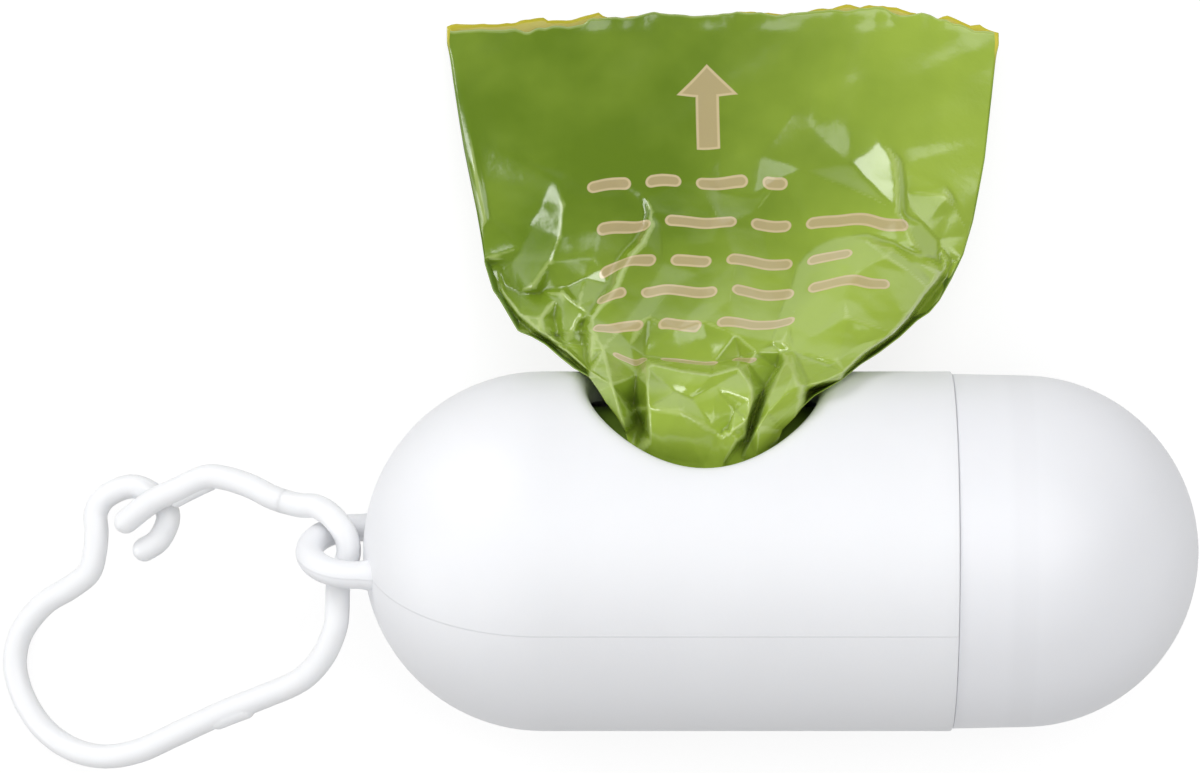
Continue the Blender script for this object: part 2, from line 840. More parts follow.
@dataclass(frozen=True)
class BlownFilm(Finish):
    """Blown starch-blend film: thin, glossy, lets light through, creases to sharp bright lines.

    It carries a plain opening arrow and rows of dashes, printed in tan with a paler outline.
    Clouds of colour are about 11 mm wide, crinkles about 2 mm and drawing lines about 0.8 mm.
    """

    glow: float = 0.08
    glow_mm: float = 0.6
    glow_colour: Triple = (0.9, 1.0, 0.35)
    gloss: float = 0.95
    bump: float = 0.8
    clouds_per_mm: float = 0.09
    crinkles_per_mm: float = 0.45
    crinkle_depth_mm: float = 0.07
    lines_per_mm: float = 1.3
    line_stretch: float = 0.12
    line_depth_mm: float = 0.012
    pale_across: Limits = (-6.0, 24.0, -0.45, 0.5)
    pale_down: Limits = (22.0, 46.0, 0.0, 0.8)
    deep_down: Limits = (1.0, 5.0, 0.0, 1.0)
    torn_down: Limits = (0.05, 0.32, 0.75, 0.0)
    ridge_bend: Limits = (0.45, 1.0, 0.0, 0.42)
    gully_bend: Limits = (-0.5, -1.0, 0.0, 0.16)
    pale: str = "#9EB841"
    deep: str = "#5C7A1C"
    torn_edge: str = "#C9D98C"
    ridge: str = "#C6D88A"
    gully: str = "#3E520E"
    print_fill: str = "#C0AA82"
    print_edge: str = "#D2C094"
    bar: float = 0.72
    edge: float = 0.26
    edge_blur: float = 0.04
    edge_share: float = 0.85
    fill_blur: float = 0.03
    fill_share: float = 0.8
    arrow_x: float = -1.7
    arrow_tip: float = 5.2
    arrow_barbs: float = 8.9
    arrow_foot: float = 14.9
    shaft_top: float = 8.2
    shaft_half: float = 1.2
    head_slope: Pair = (0.66, 0.77)
    dash_gap: float = 1.5
    dash_rows: tuple[tuple[float, float, tuple[float, ...]], ...] = (
        (18.9, -14.4, (4.6, 3.7, 5.4, 2.6)),
        (24.0, -13.6, (5.8, 7.4, 4.2, 10.6)),
        (28.9, -13.3, (6.4, 4.2, 7.0, 4.6)),
        (33.0, -13.0, (3.4, 7.8, 6.6, 8.6)),
        (37.6, -12.4, (5.2, 4.4, 8.2)),
        (43.0, -11.4, (4.0, 6.2, 3.0)),
    )
    printed: bool = True

    def dashes(self) -> list[Dash]:
        """Sets the rows of dashes out, each from its place down, its start and its lengths.

        Returns:
            The dashes.
        """
        made = []
        for down, start, lengths in self.dash_rows:
            for length in lengths:
                made.append(Dash(start + length / 2, down, length / 2))
                start += length + self.dash_gap
        return made

    def dress(self, tree: Tree, shader: bpy.types.Node) -> None:
        """Adds the film's glow, its colour clouding, fine crinkle and the print.

        Args:
            tree: the node tree.
            shader: its Principled shader.
        """
        shader.inputs["Subsurface Weight"].default_value = self.glow
        shader.inputs["Specular IOR Level"].default_value = self.gloss
        shader.inputs["Subsurface Radius"].default_value = self.glow_colour
        shader.inputs["Subsurface Scale"].default_value = self.glow_mm * MM
        flat = add_node(tree, "UVMap", uv_map=FLAT_MAP)[0]
        place = add_node(
            tree, "VectorMath", {0: flat, 1: (FLAT_UNIT, FLAT_UNIT, 0.0)}, operation="MULTIPLY"
        )[0]
        parts = add_node(tree, "SeparateXYZ", {0: place})
        tint = self.creased(tree, self.clouded(tree, place, parts))
        if self.printed:
            inside, rim = self.print_masks(tree, place, parts)
            torn = add_node(tree, "MapRange", {0: parts[1]} | ranged(self.torn_down))[0]
            for share, colour in (
                (inside, self.print_fill), (rim, self.print_edge), (torn, self.torn_edge)
            ):
                tint = add_node(tree, "Mix", {0: share, 6: tint, 7: linear(colour)}, data_type="RGBA")[2]
        tree.links.new(tint, shader.inputs["Base Color"])
        crinkle = add_node(
            tree, "TexNoise", {"Vector": place, "Scale": self.crinkles_per_mm, "Detail": 4.0}
        )["Fac"]
        stretched = add_node(
            tree, "VectorMath", {0: place, 1: (1.0, self.line_stretch, 0.0)}, operation="MULTIPLY"
        )[0]
        lines = add_node(
            tree, "TexNoise", {"Vector": stretched, "Scale": self.lines_per_mm, "Detail": 2.0}
        )["Fac"]
        fine = add_node(tree, "Math", {0: lines, 1: self.line_depth_mm * MM}, operation="MULTIPLY")[0]
        height = add_node(
            tree,
            "Math",
            {0: crinkle, 1: self.crinkle_depth_mm * MM, 2: fine},
            operation="MULTIPLY_ADD",
        )[0]
        bump = add_node(tree, "Bump", {"Strength": self.bump, "Distance": 1.0, "Height": height})
        tree.links.new(bump[0], shader.inputs["Normal"])

    def clouded(self, tree: Tree, place: Socket, parts: Sequence[Socket]) -> Socket:
        """Clouds the film's colour, which is thinner and so paler to one side and lower down.

        Args:
            tree: the node tree.
            place: the flat film's coordinates in millimetres.
            parts: the same, split.

        Returns:
            The colour.
        """
        paler = add_node(
            tree, "TexNoise", {"Vector": place, "Scale": self.clouds_per_mm, "Detail": 3.0}
        )["Fac"]
        for axis, limits in enumerate((self.pale_across, self.pale_down)):
            more = add_node(tree, "MapRange", {0: parts[axis]} | ranged(limits))[0]
            paler = add_node(tree, "Math", {0: paler, 1: more}, operation="ADD", use_clamp=axis == 1)[0]
        tint = add_node(
            tree, "Mix", {0: paler, 6: linear(self.colour), 7: linear(self.pale)}, data_type="RGBA"
        )[2]
        if self.printed:
            return tint
        far = add_node(tree, "MapRange", {0: parts[1]} | ranged(self.deep_down))[0]
        return add_node(tree, "Mix", {0: far, 6: tint, 7: linear(self.deep)}, data_type="RGBA")[2]

    def creased(self, tree: Tree, tint: Socket) -> Socket:
        """Whitens the film along its ridges, as a sharp fold does, and deepens its gullies.

        Args:
            tree: the node tree.
            tint: the colour so far.

        Returns:
            The colour with its folds.
        """
        bend = add_node(tree, "Attribute", attribute_name=BEND_MAP)["Fac"]
        for colour, limits in ((self.ridge, self.ridge_bend), (self.gully, self.gully_bend)):
            share = add_node(tree, "MapRange", {0: bend} | ranged(limits))[0]
            tint = add_node(tree, "Mix", {0: share, 6: tint, 7: linear(colour)}, data_type="RGBA")[2]
        return tint

    def print_masks(self, tree: Tree, place: Socket, parts: Sequence[Socket]) -> tuple[Socket, Socket]:
        """Cuts the distance to the printed shapes into fill and outline.

        Args:
            tree: the node tree.
            place: the flat film's coordinates in millimetres.
            parts: the same, split.

        Returns:
            The masks of the fill and of the outline.
        """
        bars, arrow = self.bars_reach(tree, place), self.arrow_reach(tree, parts)
        reach = add_node(tree, "Math", {0: bars, 1: arrow}, operation="MINIMUM")[0]
        limits = (-self.fill_blur, self.fill_blur, self.fill_share, 0.0)
        inside = add_node(tree, "MapRange", {0: reach} | ranged(limits))[0]
        half = self.edge / 2
        ring = add_node(tree, "Math", {0: reach, 1: half}, operation="ADD")[0]
        ring = add_node(tree, "Math", {0: ring}, operation="ABSOLUTE")[0]
        limits = (half - self.edge_blur, half + self.edge_blur, self.edge_share, 0.0)
        rim = add_node(tree, "MapRange", {0: ring} | ranged(limits))[0]
        return inside, rim

    def bars_reach(self, tree: Tree, place: Socket) -> Socket:
        """Gives the distance to the nearest dash.

        Args:
            tree: the node tree.
            place: the flat film's coordinates in millimetres.

        Returns:
            The distance in millimetres, below zero inside a dash.
        """
        nearest = None
        for dash in self.dashes():
            off = place
            for operation, by in (
                ("SUBTRACT", (dash.across, dash.down, 0.0)),
                ("ABSOLUTE", (0.0, 0.0, 0.0)),
                ("SUBTRACT", (dash.half - self.bar, 0.0, 0.0)),
                ("MAXIMUM", (0.0, 0.0, 0.0)),
            ):
                off = add_node(tree, "VectorMath", {0: off, 1: by}, operation=operation)[0]
            far = add_node(tree, "VectorMath", {0: off}, operation="LENGTH")["Value"]
            nearest = (
                far
                if nearest is None
                else add_node(tree, "Math", {0: nearest, 1: far}, operation="MINIMUM")[0]
            )
        return add_node(tree, "Math", {0: nearest, 1: self.bar}, operation="SUBTRACT")[0]

    def arrow_reach(self, tree: Tree, parts: Sequence[Socket]) -> Socket:
        """Gives the distance to the opening arrow, as half planes that its two parts share.

        Args:
            tree: the node tree.
            parts: the flat film's coordinates in millimetres, split.

        Returns:
            The distance in millimetres, below zero inside the arrow.
        """
        down, (rise, run) = parts[1], self.head_slope
        aside = add_node(tree, "Math", {0: parts[0], 1: self.arrow_x}, operation="SUBTRACT")
        aside = add_node(tree, "Math", {0: aside[0]}, operation="ABSOLUTE")[0]
        slope = add_node(tree, "Math", {0: aside, 1: run}, operation="MULTIPLY")[0]
        left, below, above, short, over = (
            add_node(tree, "Math", {0: first, 1: second}, operation="SUBTRACT")[0]
            for first, second in (
                (aside, self.shaft_half),
                (down, self.arrow_foot),
                (self.shaft_top, down),
                (down, self.arrow_barbs),
                (self.arrow_tip, down),
            )
        )
        flank = add_node(tree, "Math", {0: over, 1: rise, 2: slope}, operation="MULTIPLY_ADD")[0]
        shaft = self.deeper(tree, left, below, above)
        head = self.deeper(tree, flank, short)
        return add_node(tree, "Math", {0: shaft, 1: head}, operation="MINIMUM")[0]

    @staticmethod
    def deeper(tree: Tree, first: Socket, *others: Socket) -> Socket:
        """Gives the distance to the shape that several half planes share.

        Args:
            tree: the node tree.
            first: distance to the first half plane.
            *others: distances to the others.

        Returns:
            The greatest of them.
        """
        for other in others:
            first = add_node(tree, "Math", {0: first, 1: other}, operation="MAXIMUM")[0]
        return first


BODY_PLASTIC = MouldedPolypropylene("matte_white_polypropylene", "#F0F1F4", 0.46, 1.49, parting=True)
CAP_PLASTIC = MouldedPolypropylene(
    "satin_natural_polypropylene", "#F0F1F5", 0.4, 1.49, grain_mm=0.5, grain_depth_mm=0.002,
    glow_mm=0.6, clearness=0.02, bands=((42.2, 46.4, 1.01), (46.9, 49.2, 0.985)),
)
CLIP_PLASTIC = MouldedPolypropylene(
    "satin_white_polypropylene", "#F2F3F5", 0.36, 1.49, grain_mm=0.6, grain_depth_mm=0.003,
    glow_mm=1.5, glow=0.3,
)
CARD = SpiralCard("spiral_wound_card", "#B0977A", 0.9, 1.45)
ROLL_FILM = WoundFilm("wound_green_film", "#7E9C38", 0.35, 1.5)
FILM_OUTSIDE = BlownFilm("green_blown_film", "#638013", 0.19, 1.5)
FILM_INSIDE = BlownFilm("olive_inside_of_blown_film", "#BDB313", 0.34, 1.5, pale="#CDC320", printed=False)


def coated(piece: Piece, finish: Finish) -> None:
    """Gives a finished piece its material.

    Args:
        piece: the piece.
        finish: its finish.
    """
    piece.data.materials.clear()
    piece.data.materials.append(finish.material())


def dressed(piece: Piece, finish: Finish, body: str, replaced: str) -> Piece:
    """Gives a finished piece its material, its slot and the body that it rides on.

    Args:
        piece: the piece.
        finish: its finish.
        body: the body that it moves with.
        replaced: the solid that it stands for.

    Returns:
        The piece.
    """
    coated(piece, finish)
    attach(piece, body)
    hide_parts(replaced)
    log.info("%s: %d faces, on %s", piece.name, len(piece.data.polygons), body)
    return piece


# --- Body shell ---


@dataclass
class BodyShell:
    """The main moulding: round end with its eye, tube, dispensing hole and threaded neck."""

    columns: int = 144
    patch_from: int = 1
    patch_to: int = 31
    patch_deg: float = 62.6
    hole_along: float = 11.6
    hole_round: float = 11.2
    lip_along: float = 2.06
    lip_round: float = 2.66
    lip_depth: float = 1.5
    outer_shares: tuple[float, ...] = (0.2, 0.4, 0.6, 0.78, 0.9, 1.0)
    lip_rings: int = 10
    wall_shares: tuple[float, ...] = (0.3, 0.65, 0.95)
    inner_shares: tuple[float, ...] = (1.0, 0.66, 0.33, 0.0)
    corner: float = 0.14
    root: float = 0.1
    rows_to: int = 41
    neck_step: float = 0.2
    neck_round: float = 0.3
    bore_round: float = 0.2
    inner_lip: float = 0.15
    eye_r: float = 4.75
    eye_rod: float = 1.4
    eye_out: float = 0.7
    eye_flare: float = 0.2
    eye_flare_length: float = 1.1
    eye_steps: int = 28
    leg_rings: tuple[float, ...] = (1.6, 0.6, 0.0, -0.25, -0.5, -0.8, -1.1)

    def build(self) -> Piece:
        """Turns the shell, cuts and rims the hole, adds the thread and joins the eye.

        Returns:
            The dressed piece.
        """
        c = CAPSULE
        piece = lathe("body_moulding", self.profile(), self.columns)
        thread_wall(piece, (c.tube + self.root, math.inf), c.neck_r, c.thread_depth)
        self.open_hole(piece)
        closed_up(piece)
        joined_by_union(piece, [self.eye()])
        smooth(piece, 40.0)
        return dressed(piece, BODY_PLASTIC, "shell", "body_shell")

    def rows(self) -> list[float]:
        """Gives the tube's rows along it, alike on both skins so that the hole can join them."""
        return [float(i) for i in range(1, self.rows_to)]

    def profile(self) -> list[Pair]:
        """Gives the wall's profile from the outer pole round to the inner pole.

        Returns:
            Points, each (along, radius).
        """
        c = CAPSULE
        corner, end, neck_end = self.corner, c.tube, c.tube + c.neck
        outer, inner = self.neck_round, self.bore_round
        steps = round(c.neck / self.neck_step) - 2
        return (
            arc((0.0, 0.0), c.body_r, 180.0, 90.0, 26)
            + [(x, c.body_r) for x in self.rows()]
            + arc((end - corner, c.body_r - corner), corner, 90.0, 0.0, 4)
            + line((end, c.body_r - corner), (end, c.neck_r), 3)
            + line((end, c.neck_r), (neck_end - outer, c.neck_r), steps)
            + arc((neck_end - outer, c.neck_r - outer), outer, 90.0, 0.0, 3)[1:]
            + arc((neck_end - inner, c.bore_r + inner), inner, 0.0, -90.0, 2)
            + line((neck_end - inner, c.bore_r), (float(self.rows_to), c.bore_r), 6)
            + [(x, c.bore_r) for x in reversed(self.rows())]
            + arc((0.0, 0.0), c.bore_r, 90.0, 180.0, 22)
        )

    def on_skin(self, along: float, around: float, radius: float, drop: float = 0.0) -> Vector:
        """Gives a place near the hole.

        Args:
            along: length from the hole's middle.
            around: distance across the hole, square to the capsule and to the hole's direction.
            radius: radius of the skin that it starts from.
            drop: how far it lies below that skin, along the hole's direction.

        Returns:
            The place, in metres.
        """
        high = math.sqrt(max(radius * radius - around * around, 0.0)) - drop
        a = math.radians(CAPSULE.hole_deg)
        side = high * math.sin(a) + around * math.cos(a)
        up = high * math.cos(a) - around * math.sin(a)
        return CAPSULE.across(CAPSULE.hole_x + along, side, up)

    def turn(self, x: float, deg: float) -> float:
        """Gives the angle round the hole of a border point.

        Args:
            x: the point's length from the hole's middle.
            deg: its angle from the hole's middle.

        Returns:
            The angle in radians.
        """
        half = (self.patch_to - self.patch_from) / 2
        middle = (self.patch_to + self.patch_from) / 2 - CAPSULE.hole_x
        return math.atan2(deg / self.patch_deg, (x - middle) / half)

    def on_oval(self, x: float, deg: float, share: float, oval: Pair, radius: float) -> Vector:
        """Gives a place on a skin, between the patch's border and an oval round the hole.

        Args:
            x: the border point's length from the hole's middle.
            deg: its angle from the hole's middle.
            share: 0 on the border and 1 on the oval.
            oval: half the oval's length and width.
            radius: the skin's radius.

        Returns:
            The place, in metres.
        """
        t = self.turn(x, deg)
        edge = math.degrees(math.asin(min(1.0, oval[1] * math.sin(t) / radius)))
        along = x + (oval[0] * math.cos(t) - x) * share
        around = radius * math.sin(math.radians(deg + (edge - deg) * share))
        return self.on_skin(along, around, radius)

    def on_lip(self, x: float, deg: float, share: float) -> Vector:
        """Gives a place on the rounded lip.

        Args:
            x: the border point's length from the hole's middle.
            deg: its angle from the hole's middle.
            share: 0 where the lip leaves the outer skin and 1 where it meets the hole's wall.

        Returns:
            The place, in metres.
        """
        t, quarter = self.turn(x, deg), share * math.pi / 2
        a = self.hole_along + self.lip_along * (1 - math.sin(quarter))
        b = self.hole_round + self.lip_round * (1 - math.sin(quarter))
        drop = self.lip_depth * (1 - math.cos(quarter))
        return self.on_skin(a * math.cos(t), b * math.sin(t), CAPSULE.body_r, drop)

    def on_wall(self, x: float, deg: float, share: float) -> Vector:
        """Gives a place on the hole's wall.

        Args:
            x: the border point's length from the hole's middle.
            deg: its angle from the hole's middle.
            share: 0 at the lip and 1 on the inner skin.

        Returns:
            The place, in metres.
        """
        t = self.turn(x, deg)
        a, b = self.hole_along * math.cos(t), self.hole_round * math.sin(t)
        return self.on_lip(x, deg, 1.0).lerp(self.on_skin(a, b, CAPSULE.bore_r), share)

    def rings(self) -> list[Callable[[float, float], Vector]]:
        """Gives the rings of skin from the patch's border over the lip to the inner skin.

        Returns:
            Functions that place a border point, given as its length along and its angle from the
            hole's middle, on each ring in turn.
        """
        outer = (self.hole_along + self.lip_along, self.hole_round + self.lip_round)
        inner = (self.hole_along + self.inner_lip, self.hole_round + self.inner_lip)
        return (
            [partial(self.on_oval, share=s, oval=outer, radius=CAPSULE.body_r) for s in self.outer_shares]
            + [partial(self.on_lip, share=(i + 1) / self.lip_rings) for i in range(self.lip_rings)]
            + [partial(self.on_wall, share=s) for s in self.wall_shares]
            + [
                partial(self.on_oval, share=s, oval=inner, radius=CAPSULE.bore_r)
                for s in self.inner_shares
            ]
        )

    def open_hole(self, piece: Piece) -> None:
        """Takes out a patch of both skins and draws the border in over the lip, ring by ring.

        Args:
            piece: the turned shell.
        """
        c = CAPSULE

        def in_patch(face: bmesh.types.BMFace) -> bool:
            """Says whether a face lies in the patch."""
            along, _, angle = c.polar(face.calc_center_median())
            inside = self.patch_from < along < self.patch_to
            return inside and abs(c.from_hole(angle)) < self.patch_deg

        with editing(piece):
            select(piece, "FACE", in_patch)
            bpy.ops.mesh.delete(type="FACE")
            form = bmesh.from_edit_mesh(piece.data)
            along_layer = form.verts.layers.float.new("along")
            angle_layer = form.verts.layers.float.new("angle")
            for vertex in form.verts:
                along, _, angle = c.polar(vertex.co)
                vertex[along_layer] = along - c.hole_x
                vertex[angle_layer] = c.from_hole(angle)
            bmesh.update_edit_mesh(piece.data)
            middle = (c.body_r + c.bore_r) / 2
            select(piece, "EDGE", lambda e: e.is_boundary and c.polar(e.verts[0].co)[1] > middle)
            for ring in self.rings():
                bpy.ops.mesh.extrude_edges_move(TRANSFORM_OT_translate={"value": (0, 0, 0)})
                form = bmesh.from_edit_mesh(piece.data)
                along_layer = form.verts.layers.float["along"]
                angle_layer = form.verts.layers.float["angle"]
                place_selected(piece, lambda v: ring(v[along_layer], v[angle_layer]))
        for name in ("along", "angle"):
            piece.data.attributes.remove(piece.data.attributes[name])

    def eye(self) -> Piece:
        """Sweeps the half ring, its legs flared where they meet the round end.

        Returns:
            The closed half ring.
        """
        a = math.radians(CAPSULE.parting_deg)
        start = -CAPSULE.body_r - self.eye_out
        skin = -math.sqrt(CAPSULE.body_r**2 - self.eye_r**2)
        legs = [skin + off for off in self.leg_rings]
        flat = [(x, self.eye_r) for x in legs]
        flat += [
            (start - self.eye_r * math.sin(t), self.eye_r * math.cos(t))
            for t in (math.pi * i / self.eye_steps for i in range(self.eye_steps + 1))
        ]
        flat += [(x, -self.eye_r) for x in reversed(legs)]
        path = [Vector((x, out * math.sin(a), out * math.cos(a))) for x, out in flat]
        stations = []
        for station in rod_stations(path, self.eye_rod):
            near = max(0.0, 1.0 - max(0.0, skin - station.at.x) / self.eye_flare_length)
            way = station.way
            if station.at.x > start:
                way = Vector((-1.0 if len(stations) < len(path) / 2 else 1.0, 0.0, 0.0))
            at = station.at + Vector((CAPSULE.dome_x, CAPSULE.axis_y, CAPSULE.axis_z))
            stations.append(Station(at, way, self.eye_rod + self.eye_flare * near * near))
        return swept("eye", stations, 32)


# --- Screw cap ---


@dataclass
class EndCap:
    """The screw cap: a slightly drafted skirt with an inside thread and a round end."""

    columns: int = 120
    edge: float = 0.12
    seam_gap: float = 0.04
    inner_edge: float = 0.15
    dimple_r: float = 1.5
    dimple_depth: float = 0.4
    dimple_round: float = 0.12
    dimple_wall: tuple[Pair, ...] = ((0.0, 0.0), (0.0, 0.7), (0.03, 1.2), (0.15, 1.4), (0.3, 1.48))

    def build(self) -> Piece:
        """Turns the cap and raises its inside thread.

        Returns:
            The dressed piece.
        """
        c = CAPSULE
        piece = lathe("screw_cap", self.profile(), self.columns)
        thread_wall(piece, (-math.inf, c.cap_end), c.cap_bore_r, -c.thread_depth, 180.0)
        smooth(piece, 40.0)
        return dressed(piece, CAP_PLASTIC, "cap", "end_cap")

    def profile(self) -> list[Pair]:
        """Gives the wall's profile from the gate dimple out, back to the seam and inside.

        Returns:
            Points, each (along, radius).
        """
        c = CAPSULE
        first = math.degrees(math.asin((self.dimple_r + self.dimple_round) / c.cap_r))
        floor = c.cap_end + c.cap_r - self.dimple_depth
        front = c.tube + self.seam_gap
        seam, inner = (front + self.edge, c.cap_seam_r), self.inner_edge
        return (
            [(floor + rise, radius) for rise, radius in self.dimple_wall]
            + arc((c.cap_end, 0.0), c.cap_r, first, 90.0, 26)
            + line((c.cap_end, c.cap_r), seam, 8)
            + arc((front + self.edge, c.cap_seam_r - self.edge), self.edge, 90.0, 180.0, 4)[1:]
            + arc((front + inner, c.cap_bore_r + inner), inner, 180.0, 270.0, 2)
            + line((front + inner, c.cap_bore_r), (c.cap_end, c.cap_bore_r), 34)
            + arc((c.cap_end, 0.0), c.cap_bore_r, 90.0, 0.0, 22)[1:]
        )


# --- Leash clip ---


@dataclass
class LeashClip:
    """The hook clip: one bent rod whose two hooked ends cross.

    U runs along the capsule, V across it and W out of the rod's plane, from the eye.
    """

    rod: float = 1.25
    from_dome: float = -19.7809
    height: float = 18.4264
    tilt_deg: float = 25.9874
    frame_route: Points = (
        (-7.4, 5, 0), (-5.4, 4.6, 0), (-3.6, 4.5, 0), (-1.8, 3.5, 0), (-0.3, 1.7, 0),
        (0.1, -0.1, 0), (-0.5, -1.9, 0), (-1.1, -3.5, 0), (-1.2, -6, 0), (-1.5, -8, 0),
        (-2.9, -10.8, 0), (-5.5, -13.2, 0), (-9.9, -15, 0), (-14.3, -16.6, 0),
        (-20.2, -19.1, 0), (-24.3, -20.8, 0), (-28.3, -21.5, 0), (-32.1, -20.9, 0),
        (-35.5, -19, 0), (-37.9, -16.1, 0), (-39.1, -13, 0), (-39, -10.4, 0),
        (-37.9, -8.1, 0), (-35.5, -5.7, 0), (-32.5, -4.1, 0), (-30.3, -2.5, 0),
        (-29.6, -0.4, 0), (-29.4, 1.7, 0), (-29.6, 3.7, -0.2), (-28.5, 5.4, -0.6),
        (-25.9, 6.4, -1.1), (-23.5, 5.6, -1.3), (-22, 4.2, -1.4), (-21.7, 2.8, -1.3),
        (-22.6, 0.9, -1), (-24.1, -0.1, -0.7),
    )
    arm_route: Points = (
        (-7.4, 5, 0), (-8.9, 5.5, 0.1), (-11.3, 6.6, 0.3), (-14.2, 7.4, 0.6),
        (-16.2, 7.4, 0.9), (-19, 6.2, 1.3), (-22, 4.9, 1.4), (-25.2, 2.8, 1.2),
    )
    flex_length: float = 4.5
    gate_route: Points = ((-11.8, -16.3, 0), (-13.4, -16.85, 0), (-15.0, -17.45, 0))
    gate_rod: float = 0.98
    ledge_route: Points = ((-15.6, 6.8, 0.5), (-17.4, 6.0, 0.7), (-19.4, 5.05, 0.9))
    ledge_rod: float = 0.75

    def out(self, u: float, v: float, w: float) -> Vector:
        """Turns the clip's own coordinates into the row's, in millimetres."""
        t = math.radians(self.tilt_deg)
        return Vector(
            (
                CAPSULE.dome_x + self.from_dome + u * math.cos(t) - w * math.sin(t),
                CAPSULE.axis_y + v,
                self.height + u * math.sin(t) + w * math.cos(t),
            )
        )

    def rod_along(self, name: str, route: Sequence[Point], way: Vector) -> Piece:
        """Sweeps the rod along a route, flat at the flexing point and round at its end.

        Args:
            name: name of the piece.
            route: the route's points.
            way: direction in which it leaves the flexing point.

        Returns:
            The rod.
        """
        path = spline([self.out(*p) for p in route], 5)
        stations = rod_stations(path, self.rod)
        stations[0] = Station(path[0], way, self.rod)
        return swept(name, stations + round_tip(stations[-1]))

    def lump(self, name: str, route: Sequence[Point], radius: float) -> Piece:
        """Sweeps a short round-ended lump that stands out of the rod.

        Args:
            name: name of the lump.
            route: the route's points.
            radius: its radius.

        Returns:
            The lump.
        """
        path = spline([self.out(*p) for p in route], 4)
        stations = rod_stations(path, radius)
        back = [Station(s.at, -s.way, s.radius) for s in stations[:1]]
        nose = [Station(s.at, -s.way, s.radius) for s in reversed(round_tip(back[0]))]
        return swept(name, nose + stations + round_tip(stations[-1]))

    def build(self) -> list[Piece]:
        """Sweeps the loop and the flexing arm.

        Returns:
            The two dressed pieces.
        """
        flex = self.out(*self.frame_route[0])
        after, before = self.out(*self.frame_route[1]), self.out(*self.arm_route[1])
        way = (after - before).normalized()
        loop = self.rod_along("clip_loop", self.frame_route, way)
        arm = self.rod_along("clip_hook_arm", self.arm_route, -way)
        joined_by_union(loop, [self.lump("gate_mark", self.gate_route, self.gate_rod)])
        joined_by_union(arm, [self.lump("ledge", self.ledge_route, self.ledge_rod)])
        for piece in (loop, arm):
            smooth(piece, 50.0)
        dressed(loop, CLIP_PLASTIC, "clip", "leash_clip")
        coated(arm, CLIP_PLASTIC)
        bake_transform(arm, "clip", "clip_arm", start=flex * MM, end=(flex - way * self.flex_length) * MM)
        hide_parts("clip_arm")
        log.info("%s: %d faces, bends", arm.name, len(arm.data.polygons))
        return [loop, arm]


# --- Roll ---


@dataclass
class Roll:
    """The refill roll inside: the card core and the wound bags, which keep their solids."""

    bags: int = 15

    def build(self) -> None:
        """Gives the core, the wound bags and the cap's gate pip their finishes."""
        finishes: dict[str, Finish] = {"roll_core": CARD, "cap_gate_pip": CAP_PLASTIC}
        for number in range(2, self.bags + 1):
            finishes[f"bag_{number:02d}"] = ROLL_FILM
        finishes["leading_bag_wound"] = ROLL_FILM
        for name, finish in finishes.items():
            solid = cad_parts[name]
            for slot in solid.material_slots:
                slot.material = finish.material()
            log.info("%s: %s", name, finish.name)


# --- Drawn bag ---


